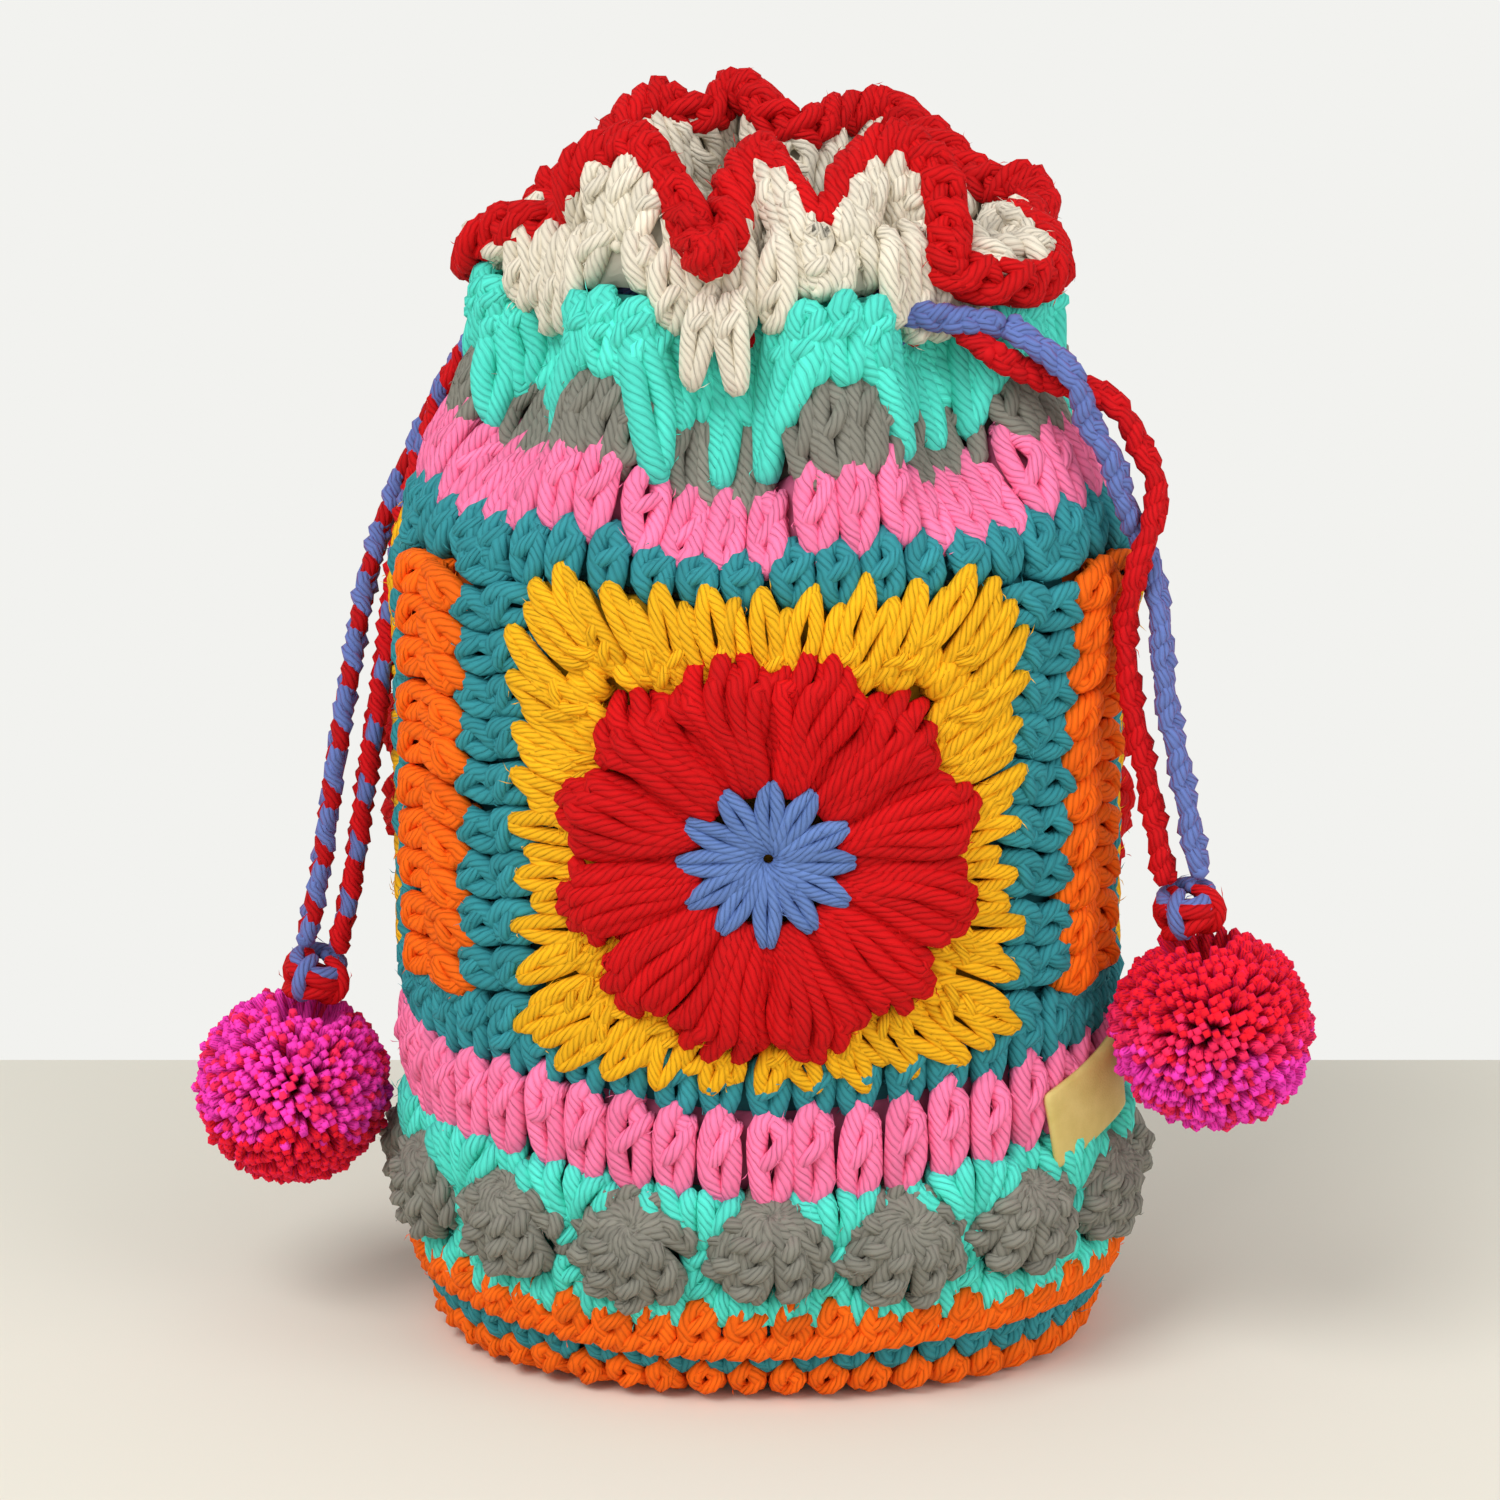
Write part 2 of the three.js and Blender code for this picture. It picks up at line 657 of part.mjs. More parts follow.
// A point of the collar: it rises from the neck, then flares to the rim
function collarPoint(share, rise) {
  const foot = collarFoot(rimRoot(share) * degree);
  const rim = rimCurve.getPoint(share);
  const lift = flareRise * Math.max(leastRise, rim.z - neckHigh);
  const bend = foot.clone().lerp(rim, flareShare).setZ(neckHigh + lift);
  return foot.multiplyScalar((1 - rise) ** 2)
    .add(bend.multiplyScalar(2 * rise * (1 - rise)))
    .add(rim.multiplyScalar(rise ** 2));
}

// Outward normal of the collar
function collarNormal(share, rise) {
  const along = collarPoint(share + 0.003, rise).sub(collarPoint(share + 0.997, rise));
  const up = collarPoint(share, Math.min(1, rise + 0.05)).sub(collarPoint(share, Math.max(0, rise - 0.05)));
  return along.cross(up).normalize();
}

// Collar with a tab down into each valley, and the red edging on its rim
function addCollar() {
  const stations = rimPoints.length * 2;
  const rows = [0, 0.5, 1];
  const sheet = (grown) => closedRing(stations, (i) => {
    const share = i / stations;
    const faces = rows.map((rise) => {
      const normal = collarNormal(share, rise);
      if (rise === 0) normal.setZ(0).normalize();
      const thickness = rise === 0 ? neckWall : collarThickness;
      const point = collarPoint(share, rise);
      return [grown, -thickness - grown].map((reach) => point.clone().addScaledVector(normal, reach));
    });
    return [...faces.map(([outside]) => outside), ...faces.map(([, inside]) => inside).reverse()];
  });
  const valleyRadius = neckRadius - pleatDepth;
  const tabs = pleatPosts(firstCrest + 0.5 / pleatCount, valleyRadius, neckLow + clearance, neckHigh + 3);
  const collar = toSolid(joined([sheet(0), ...tabs]));
  addPiece('cream_collar', fromSolid(collar), 'cream');

  const edging = closedRing(stations, (i) => {
    const share = i / stations;
    const normal = collarNormal(share, 1);
    const along = rimCurve.getTangent(share);
    const up = new THREE.Vector3().crossVectors(normal, along).normalize();
    const middle = collarPoint(share, 1).addScaledVector(normal, -collarThickness / 2);
    const corner = (rise, out) => middle.clone().addScaledVector(up, rise).addScaledVector(normal, out);
    const half = edgingThickness / 2;
    return [
      corner(seatGap, -collarThickness / 2),
      corner(seatGap, collarThickness / 2),
      corner(edgingHeight * 0.7, half),
      corner(edgingHeight, 0),
      corner(edgingHeight * 0.7, -half),
    ];
  });
  // The crumbs that the cuts leave where the collar folds sharply are dropped
  const cut = toSolid(edging).subtract(toSolid(sheet(edgingGap))).subtract(collar);
  const [edgingBody] = cut.decompose().sort((a, b) => b.volume() - a.volume());
  addPiece('red_edging', fromSolid(edgingBody.simplify(crumbSize)), 'red');
}

// Woven lining: a cup inside the wall, sewn in under the neck
function addLining() {
  const heights = [footTop + clearance, dipLow, dipHigh, shoulderStart, liningTop];
  const stations = liningStations;
  const inset = wall + liningGap;
  const floor = heights[0];
  const points = [new THREE.Vector3(0, 0, floor), new THREE.Vector3(0, 0, floor + liningThickness)];
  const outer = heights.map((height, k) => [height, k === 0 ? inset + liningFloorInset : inset]);
  const inner = [...outer].reverse().map(([height, deep], k) => {
    const last = k === outer.length - 1;
    return [last ? height + liningThickness : height, deep + liningThickness];
  });
  const section = [...outer, ...inner];
  const triangles = [];
  const count = section.length;
  for (let i = 0; i < stations; i += 1) {
    section.forEach(([height, deep]) => points.push(wallPoint(i / stations, height, -deep)));
    const [a, b] = [2 + i * count, 2 + ((i + 1) % stations) * count];
    triangles.push([0, b, a], [1, a + count - 1, b + count - 1]);
    for (let j = 0; j < count - 1; j += 1) {
      triangles.push([a + j, b + j, b + j + 1], [a + j, b + j + 1, a + j + 1]);
    }
  }
  addPiece('lining', solidFrom(points, triangles), 'beige');
}

// Small folded leather tag sewn on the lower pink round, left plain
function addTag() {
  const outline = new THREE.Shape();
  const [w, h, r] = [tagWidth / 2, tagHeight / 2, 1];
  outline.moveTo(-w + r, -h).lineTo(w - r, -h).lineTo(w, -h + r).lineTo(w, h - r);
  outline.lineTo(w - r, h).lineTo(-w + r, h).lineTo(-w, h - r).lineTo(-w, -h + r).closePath();
  const geometry = new THREE.ExtrudeGeometry(outline, { depth: tagThickness, bevelEnabled: false });
  geometry.rotateZ(tagTilt * degree).rotateX(Math.PI / 2).translate(0, tagThickness, 0);
  geometry.applyMatrix4(wallFrame(tagTurn, tagCentre, stitchPuff + clearance));
  addPiece('leather_tag', tidySolid(geometry), 'tan');
}

// Drawstring: up from the knot, once round the neck between the tabs, and down beside itself.
// Its halves lie side by side along the wall at the neck, and side by side seen from the front below.
function addDrawstring(side, tail, exit, height) {
  const sign = side === 'left' ? -1 : 1;
  const spread = cordDiameter / 2 + clearance;
  const front = new THREE.Vector3(0, -1, 0);
  const strand = (offset) => tail.map(([x, y, z], i) => {
    const before = new THREE.Vector3(...tail[Math.max(0, i - 1)]);
    const along = new THREE.Vector3(...tail[Math.min(tail.length - 1, i + 1)]).sub(before).normalize();
    const out = new THREE.Vector3(x, y, 0).normalize().lerp(front, Math.min(1, i / turnedPoints));
    const across = new THREE.Vector3().crossVectors(along, out).normalize();
    return new THREE.Vector3(x, y, z).addScaledVector(across, offset * spread);
  });
  const loop = [];
  for (let i = 0; i <= loopSteps; i += 1) {
    const angle = exit + loopOpening + (i / loopSteps) * (360 - 2 * loopOpening);
    loop.push(polarPoint(angle * degree, cordLoopRadius, height));
  }
  const leaving = (away) => {
    const angle = (exit + away * leaveTurn) * degree;
    return polarPoint(angle, cordLoopRadius + leaveReach, height - leaveDrop);
  };
  const points = [...strand(sign).reverse(), leaving(1), ...loop, leaving(-1), ...strand(-sign)];
  const route = new THREE.CatmullRomCurve3(points, false, 'centripetal');
  const section = new THREE.Shape();
  for (let i = 0; i < cordSides; i += 1) {
    const angle = (i + 0.5) * ((2 * Math.PI) / cordSides);
    const corner = [(Math.cos(angle) * cordDiameter) / 2, (Math.sin(angle) * cordDiameter) / 2];
    if (i === 0) section.moveTo(...corner);
    else section.lineTo(...corner);
  }
  section.closePath();
  const way = { steps: cordSteps, extrudePath: route, bevelEnabled: false };
  addPiece(`${side}_drawstring`, tidySolid(new THREE.ExtrudeGeometry(section, way)), 'blue');

  // The knot hangs in line with the end of the drawstring, and the pompom in line with the knot
  const [above, end] = tail.slice(-2).map((point) => new THREE.Vector3(...point));
  const down = end.clone().sub(above).normalize();
  const top = end.clone().addScaledVector(down, seatGap);
  const centre = top.clone().addScaledVector(down, knotHeight + clearance + pompomRadius);
  const knot = new THREE.LatheGeometry(
    [[0, 0], [0.85, 0], [1, 0.5], [0.8, 1], [0, 1]].map(([x, y]) => new THREE.Vector2(x, y)),
    8,
  );
  knot.scale(knotWidth / 2, knotHeight, knotWidth / 2);
  knot.applyQuaternion(new THREE.Quaternion().setFromUnitVectors(new THREE.Vector3(0, 1, 0), down));
  knot.translate(top.x, top.y, top.z);
  addPiece(`${side}_knot`, tidySolid(knot), 'red');

  const ball = new THREE.IcosahedronGeometry(pompomRadius, 2);
  ball.translate(centre.x, centre.y, centre.z);
  addPiece(`${side}_pompom`, tidySolid(ball), 'magenta');
}

addBase();
addRidge();
addBobbles();
addPanels();
addShoulder();
addCollar();
addLining();
addTag();
addDrawstring('left', leftTail, leftExit, leftCordHeight);
addDrawstring('right', rightTail, rightExit, rightCordHeight);

export default pouch;
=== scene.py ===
import math
import bpy
import numpy as np
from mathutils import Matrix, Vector


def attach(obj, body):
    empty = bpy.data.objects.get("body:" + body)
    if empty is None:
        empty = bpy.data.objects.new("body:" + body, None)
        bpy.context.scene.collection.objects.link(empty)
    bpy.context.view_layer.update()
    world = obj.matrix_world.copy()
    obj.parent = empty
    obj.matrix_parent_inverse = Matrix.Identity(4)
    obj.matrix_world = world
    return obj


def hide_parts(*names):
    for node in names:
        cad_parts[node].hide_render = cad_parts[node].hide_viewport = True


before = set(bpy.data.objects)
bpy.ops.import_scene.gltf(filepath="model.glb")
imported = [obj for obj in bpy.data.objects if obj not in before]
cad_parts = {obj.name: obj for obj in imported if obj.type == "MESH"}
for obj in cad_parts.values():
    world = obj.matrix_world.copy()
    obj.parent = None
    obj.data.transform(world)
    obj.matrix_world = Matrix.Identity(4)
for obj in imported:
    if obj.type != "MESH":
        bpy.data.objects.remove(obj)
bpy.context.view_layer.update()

# Crocheted drawstring pouch. The yarn of every round is made strand by strand on the pouch's own
# surfaces. Sizes are in millimetres, turned into metres when a mesh is made.
MM = 0.001
TAU = 2 * math.pi
random = np.random.default_rng(20)

# Body of the pouch, as in the frame
BODY_RADIUS = 62.3
FOOT_RADIUS = 58.5
FOOT_WIDENING = 60
CORNER_SWELL = 0.06
WALL = 5
STITCHES = 51
BASE_THICKNESS = 4.6
FOOT_TOP = 6.8
BASE_TEAL_TOP = 13.8
RIDGE_TOP = 17.8
BOBBLE_ROUND_TOP = 45.5
PINK_LOWER_TOP = 59.5
PANEL_TOP = 145.5
TEAL_UPPER_TOP = 154
PINK_UPPER_TOP = 166
GREY_TOP = 172
NECK_LOW = 177.5
NECK_HIGH = 189.6
BASE_CENTRE_RADIUS = 48
FOOT_ROUNDING = 6.5
FOOT_START = 1.9
LOWEST_LINE = 1.75  # lowest place of a strand's middle, so that its lower side rests on the floor
RIDGE_LIP = 8
SIDE_LIP = 4.4

# Gathers and slump
PLEATS = 8
FIRST_CREST = 0.0375
PLEAT_DEPTH = 11.5
PLEAT_SHARPNESS = 1.6
SHOULDER_START = 140
GATHER_START = 150
NECK_RADIUS = 47.5
VALLEY_DROP = 6.5
NECK_VALLEY = 4.5  # depth of the valleys where yarn covers the drawstrings
FLARE_SHARE = 0.25
FLARE_RISE = 0.45
LEAST_RISE = 6
FRONT_SAG = 6.5
FRONT_DIP = 4.5
SIDE_DIP = 3.2
DIP_START = 40
DIP_LOW = 75
DIP_HIGH = 112
DIP_TURN = 0.23
DIP_SPREAD = 0.1
FRONT_SPREADS = {"share": 0.15, "low": 0.095, "high": 0.11}  # as shares of the way round

# Bobbles, squares and tag
BOBBLES = 17
BOBBLE_WIDTH = 20.5
BOBBLE_HEIGHT = 20
BOBBLE_REACH = 6.8
BOBBLE_CENTRE = 30.6
PANELS = 3
SEAM_WIDTH = 18
SEAM_LOW = 71
SIDE_BORDER = 17
LOWER_BORDER = 8
PETALS = 12
FLOWER_RADIUS = 37
FLOWER_HEIGHT = 98
EYE_RADIUS = 12.5
TREBLES = 9  # in a bobble
COLUMN_STITCHES = 10  # in a column beside a flower and in a seam
TIP_SPACING = 4.3  # of the yellow ground on the border
LONG_WAY = 38  # from the flower's middle: beyond it the ground has a second row
TAG_WIDTH = 22
TAG_HEIGHT = 15
TAG_THICKNESS = 1.3
TAG_TURN = 0.152
TAG_CENTRE = 50
TAG_TILT = 14

# Collar, lining and drawstrings
COLLAR_THICKNESS = 3.6
EDGING_HEIGHT = 6
EDGING_PITCH = 4.7
EDGING_CORE = 1.16  # rise of the edging's middle, as a share of the way from the neck to the rim
LARGEST_PULL = 0.4
LINING_TOP = 157
LINING_INSET = 7.3
CORD_DIAMETER = 5.2
CORD_LOOP_RADIUS = 39.8
TURNED_POINTS = 6
LEAVE_TURN = 4.4
LEAVE_REACH = 5.5
LEAVE_DROP = 1.6
LOOP_OPENING = 11
KNOT_HEIGHT = 8
POMPOM_RADIUS = 16.8
TUFTS = 1500
GOLDEN_TURN = math.pi * (3 - math.sqrt(5))
SEAT_GAP = 0.6
CLEARANCE = 0.3

# Outer edge of the edging: angle at the neck, angle at the rim, distance beyond the neck, rise over it
RIM = np.array([
    (-99, -95, 0.5, -4), (-86, -83, 3.5, 0), (-70, -70, 1, 8), (-58, -55, -6, 11),
    (-50, -49, -1.5, 18), (-42, -42, -5, 25), (-32, -31, -7.5, 27), (-24, -23, -6.5, 21),
    (-18, -17.5, 1.5, 12), (-13, -11.5, 6, 6), (-8, -6, -1, 11), (-3, -9, -13, 19.5),
    (1, -6, -19, 25), (7, 3, -16, 23), (13, 12, -8.5, 15), (18, 20, -13, 21),
    (24, 30, -14.5, 25), (30, 38, -10.5, 26.5), (34, 42, -4.5, 21), (38, 39, 1, 11),
    (42, 37, 3, 2), (52, 50, 4, -0.5), (62, 64, 4.5, 0.5), (74, 76, 4.5, 5),
    (84, 85, -0.5, 7), (95, 98, 3, 10), (105, 107, 1.5, 15), (116, 117, -3.5, 15),
    (130, 131, -4, 20), (144, 147, 0, 25), (155, 156, 0.5, 26), (164, 164, -6, 24.5),
    (172, 172, -13.5, 24), (181, 182, -5.5, 29), (190, 190, -1, 29), (199, 198, -7.5, 26),
    (206, 205, -1.5, 27.5), (216, 215, -1.5, 24), (229, 228, -6, 18), (240, 240, 0, 11),
    (251, 253, -3.5, 3),
])

# Free ends of the drawstrings, in metres, from the neck down to the knots
LEFT_TAIL = [
    (-0.0515, 0.01, 0.1745), (-0.057, 0.013, 0.1655), (-0.0615, 0.013, 0.155),
    (-0.0658, 0.009, 0.1435), (-0.0684, 0, 0.1314), (-0.0704, -0.008, 0.1167),
    (-0.0719, -0.011, 0.1075), (-0.0738, -0.012, 0.0957), (-0.0759, -0.012, 0.0825),
    (-0.0791, -0.012, 0.068),
]
RIGHT_TAIL = [
    (0.0381, -0.038, 0.1805), (0.0474, -0.037, 0.1747), (0.0549, -0.036, 0.1683),
    (0.0596, -0.036, 0.1611), (0.062, -0.036, 0.1537), (0.0628, -0.0365, 0.1431),
    (0.0628, -0.037, 0.1326), (0.064, -0.0375, 0.1202), (0.0666, -0.0385, 0.1078),
    (0.069, -0.0395, 0.0955), (0.0705, -0.04, 0.0883),
]
CORDS = {
    "left": (LEFT_TAIL, -99, 180.9),
    "right": (RIGHT_TAIL, 36, 186.5),
}


def add(name, data):
    """A new object in the scene."""
    made = bpy.data.objects.new(name, data)
    bpy.context.scene.collection.objects.link(made)
    return made


# Camera
def make_camera():
    data = bpy.data.cameras.new("camera")
    data.sensor_width = 36
    data.lens = 96
    camera = add("camera", data)
    camera.location = (-0.003, -0.692, 0.273)
    camera.rotation_euler = (math.radians(90 - 13.9), 0, 0)
    bpy.context.scene.camera = camera


# Surfaces of the pouch
def smooth(value, low, high):
    x = np.clip((value - low) / (high - low), 0, 1)
    return x * x * (3 - 2 * x)


OUTLINE_STEPS = 720
outline_angles = np.linspace(0, TAU, OUTLINE_STEPS + 1)
outline_radii = 1 - CORNER_SWELL * np.cos(3 * outline_angles)
outline_parts = np.hypot(
    (outline_radii[1:] + outline_radii[:-1]) / 2 * TAU / OUTLINE_STEPS, np.diff(outline_radii)
)
outline_lengths = np.concatenate([[0], np.cumsum(outline_parts)])
PERIMETER = outline_lengths[-1] * BODY_RADIUS
PITCH = PERIMETER / STITCHES


def angle_at(turn):
    whole = np.floor(turn)
    share = (turn - whole) * outline_lengths[-1]
    return np.interp(share, outline_lengths, outline_angles) + whole * TAU


def valley(turn):
    wave = np.tanh(PLEAT_SHARPNESS * np.cos(TAU * PLEATS * (turn - FIRST_CREST)))
    return (1 - wave / math.tanh(PLEAT_SHARPNESS)) / 2


def slump(turn, height):
    front = turn - np.round(turn)
    low = smooth(height, 20, 46) * (1 - smooth(height, 68, 112))
    fading = 1 - smooth(height, PINK_UPPER_TOP, NECK_LOW)
    high = smooth(height, PANEL_TOP, PINK_UPPER_TOP - 4) * fading
    upper = smooth(height, 100, PANEL_TOP) * fading
    bell = {name: np.exp(-((front / spread) ** 2)) for name, spread in FRONT_SPREADS.items()}
    sag = FRONT_SAG * low * bell["low"] + FRONT_DIP * upper * bell["high"]
    return sag + VALLEY_DROP * valley(turn) * (0.4 + 0.6 * bell["share"]) * high


def wall_radius(turn, height):
    angle = angle_at(turn)
    rise = np.clip((height - SHOULDER_START) / (NECK_LOW - SHOULDER_START), 0, 1)
    foot = FOOT_RADIUS + (BODY_RADIUS - FOOT_RADIUS) * smooth(height, 0, FOOT_WIDENING)
    level = smooth(height, DIP_START, DIP_LOW) * (1 - smooth(height, DIP_HIGH, SHOULDER_START))
    side = turn - DIP_TURN
    side = side - np.round(side)
    dip = SIDE_DIP * level * np.exp(-((side / DIP_SPREAD) ** 2))
    mean = foot + (NECK_RADIUS - BODY_RADIUS) * rise**1.5 - dip
    swell = 1 - CORNER_SWELL * (1 - rise) * np.cos(3 * angle)
    return mean * swell - PLEAT_DEPTH * valley(turn) * smooth(height, GATHER_START, NECK_LOW)


def polar(angle, radius, height):
    return np.stack(np.broadcast_arrays(radius * np.sin(angle), -radius * np.cos(angle), height), -1)


def on_wall(points):
    """Points given as (length round from the front, height, reach out of the wall)."""
    points = np.asarray(points, float)
    turn, height = points[..., 0] / PERIMETER, points[..., 1]
    radius = wall_radius(turn, height) + points[..., 2]
    return polar(angle_at(turn), radius, height - slump(turn, height))


def on_neck(points):
    """Like on_wall, over the drawstrings: the valleys are shallow and nothing slumps."""
    points = np.asarray(points, float)
    turn = points[..., 0] / PERIMETER
    radius = NECK_RADIUS - NECK_VALLEY * valley(turn) + points[..., 2]
    return polar(angle_at(turn), radius, points[..., 1])


def catmull(points, shares, closed=False):
    """Points at shares from 0 to 1 of a smooth curve through the given points."""
    points = np.asarray(points, float)
    count = len(points)
    spans = count if closed else count - 1
    place = np.clip(np.asarray(shares, float), 0, 1) * spans
    first = np.minimum(np.floor(place).astype(int), spans - 1)
    t = (place - first)[:, None]
    if closed:
        a, b, c, d = (points[(first + k) % count] for k in (-1, 0, 1, 2))
    else:
        padded = np.vstack([2 * points[0] - points[1], points, 2 * points[-1] - points[-2]])
        a, b, c, d = (padded[first + k] for k in (0, 1, 2, 3))
    return 0.5 * (2 * b + (c - a) * t + (2 * a - 5 * b + 4 * c - d) * t**2
                  + (3 * b - a - 3 * c + d) * t**3)


def unit(vectors):
    return vectors / np.maximum(np.linalg.norm(vectors, axis=-1, keepdims=True), 1e-9)


def step_lengths(line):
    return np.linalg.norm(np.diff(line, axis=-2), axis=-1)


def about(one, two, turn):
    """The way that is turned from one direction towards a second one."""
    return one * np.cos(turn) + two * np.sin(turn)


# Collar surface
def collar_foot(root):
    return polar(root, NECK_RADIUS - PLEAT_DEPTH * valley(root / TAU), NECK_HIGH)


OUTER_EDGE = polar(np.radians(RIM[:, 1]), NECK_RADIUS + RIM[:, 2], NECK_HIGH + RIM[:, 3])
to_foot = collar_foot(np.radians(RIM[:, 0])) - OUTER_EDGE
pull = np.minimum(EDGING_HEIGHT / np.linalg.norm(to_foot, axis=1), LARGEST_PULL)
RIM_POINTS = OUTER_EDGE + to_foot * pull[:, None]
ROOTS = np.append(RIM[:, 0], RIM[0, 0] + 360)


def collar_point(share, rise):
    share = np.asarray(share, float) % 1
    rise = np.asarray(rise, float)[:, None]
    root = np.radians(np.interp(share * len(RIM), np.arange(len(ROOTS)), ROOTS))
    foot = collar_foot(root)
    rim = catmull(RIM_POINTS, share, closed=True)
    bend = foot + (rim - foot) * FLARE_SHARE
    bend[:, 2] = NECK_HIGH + FLARE_RISE * np.maximum(LEAST_RISE, rim[:, 2] - NECK_HIGH)
    return foot * (1 - rise) ** 2 + bend * 2 * rise * (1 - rise) + rim * rise**2


def collar_normal(share, rise):
    along = collar_point(share + 0.004, rise) - collar_point(share - 0.004, rise)
    low, high = np.maximum(rise - 0.06, 0), np.minimum(rise + 0.06, 1)
    return unit(np.cross(along, collar_point(share, high) - collar_point(share, low)))


def on_collar(points):
    """Points given as (share of the rim, rise from the neck to the rim, reach outwards)."""
    points = np.asarray(points, float)
    flat = points.reshape(-1, 3)
    rise = np.clip(flat[:, 1], 0, 1)
    place = collar_point(flat[:, 0], rise)
    over = np.clip(flat[:, 1] - 1, 0, None)[:, None]
    up = unit(collar_point(flat[:, 0], rise) - collar_point(flat[:, 0], np.maximum(rise - 0.08, 0)))
    place = place + collar_normal(flat[:, 0], rise) * flat[:, 2:3] + up * over * 10
    return place.reshape(points.shape)


def dress(mesh, material, slot, *nodes):
    """The mesh as a piece of the pouch, in the place of CAD nodes."""
    mesh.materials.append(material)
    piece = add(mesh.name, mesh)
    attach(piece, "root")
    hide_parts(*nodes)
    return piece


# Yarn maker
GAP_SHADE_TONE = -5.0  # painted shade: the cloth behind the stitches is darkened to stand for the shade in the gaps between them
NO_TRIANGLES = np.zeros((0, 3), int)
HAIR_RADIUS = 0.1
HAIR_LOWEST = 0.5  # so that no fibre goes through the floor
HAIRS_PER_RING = 0.3


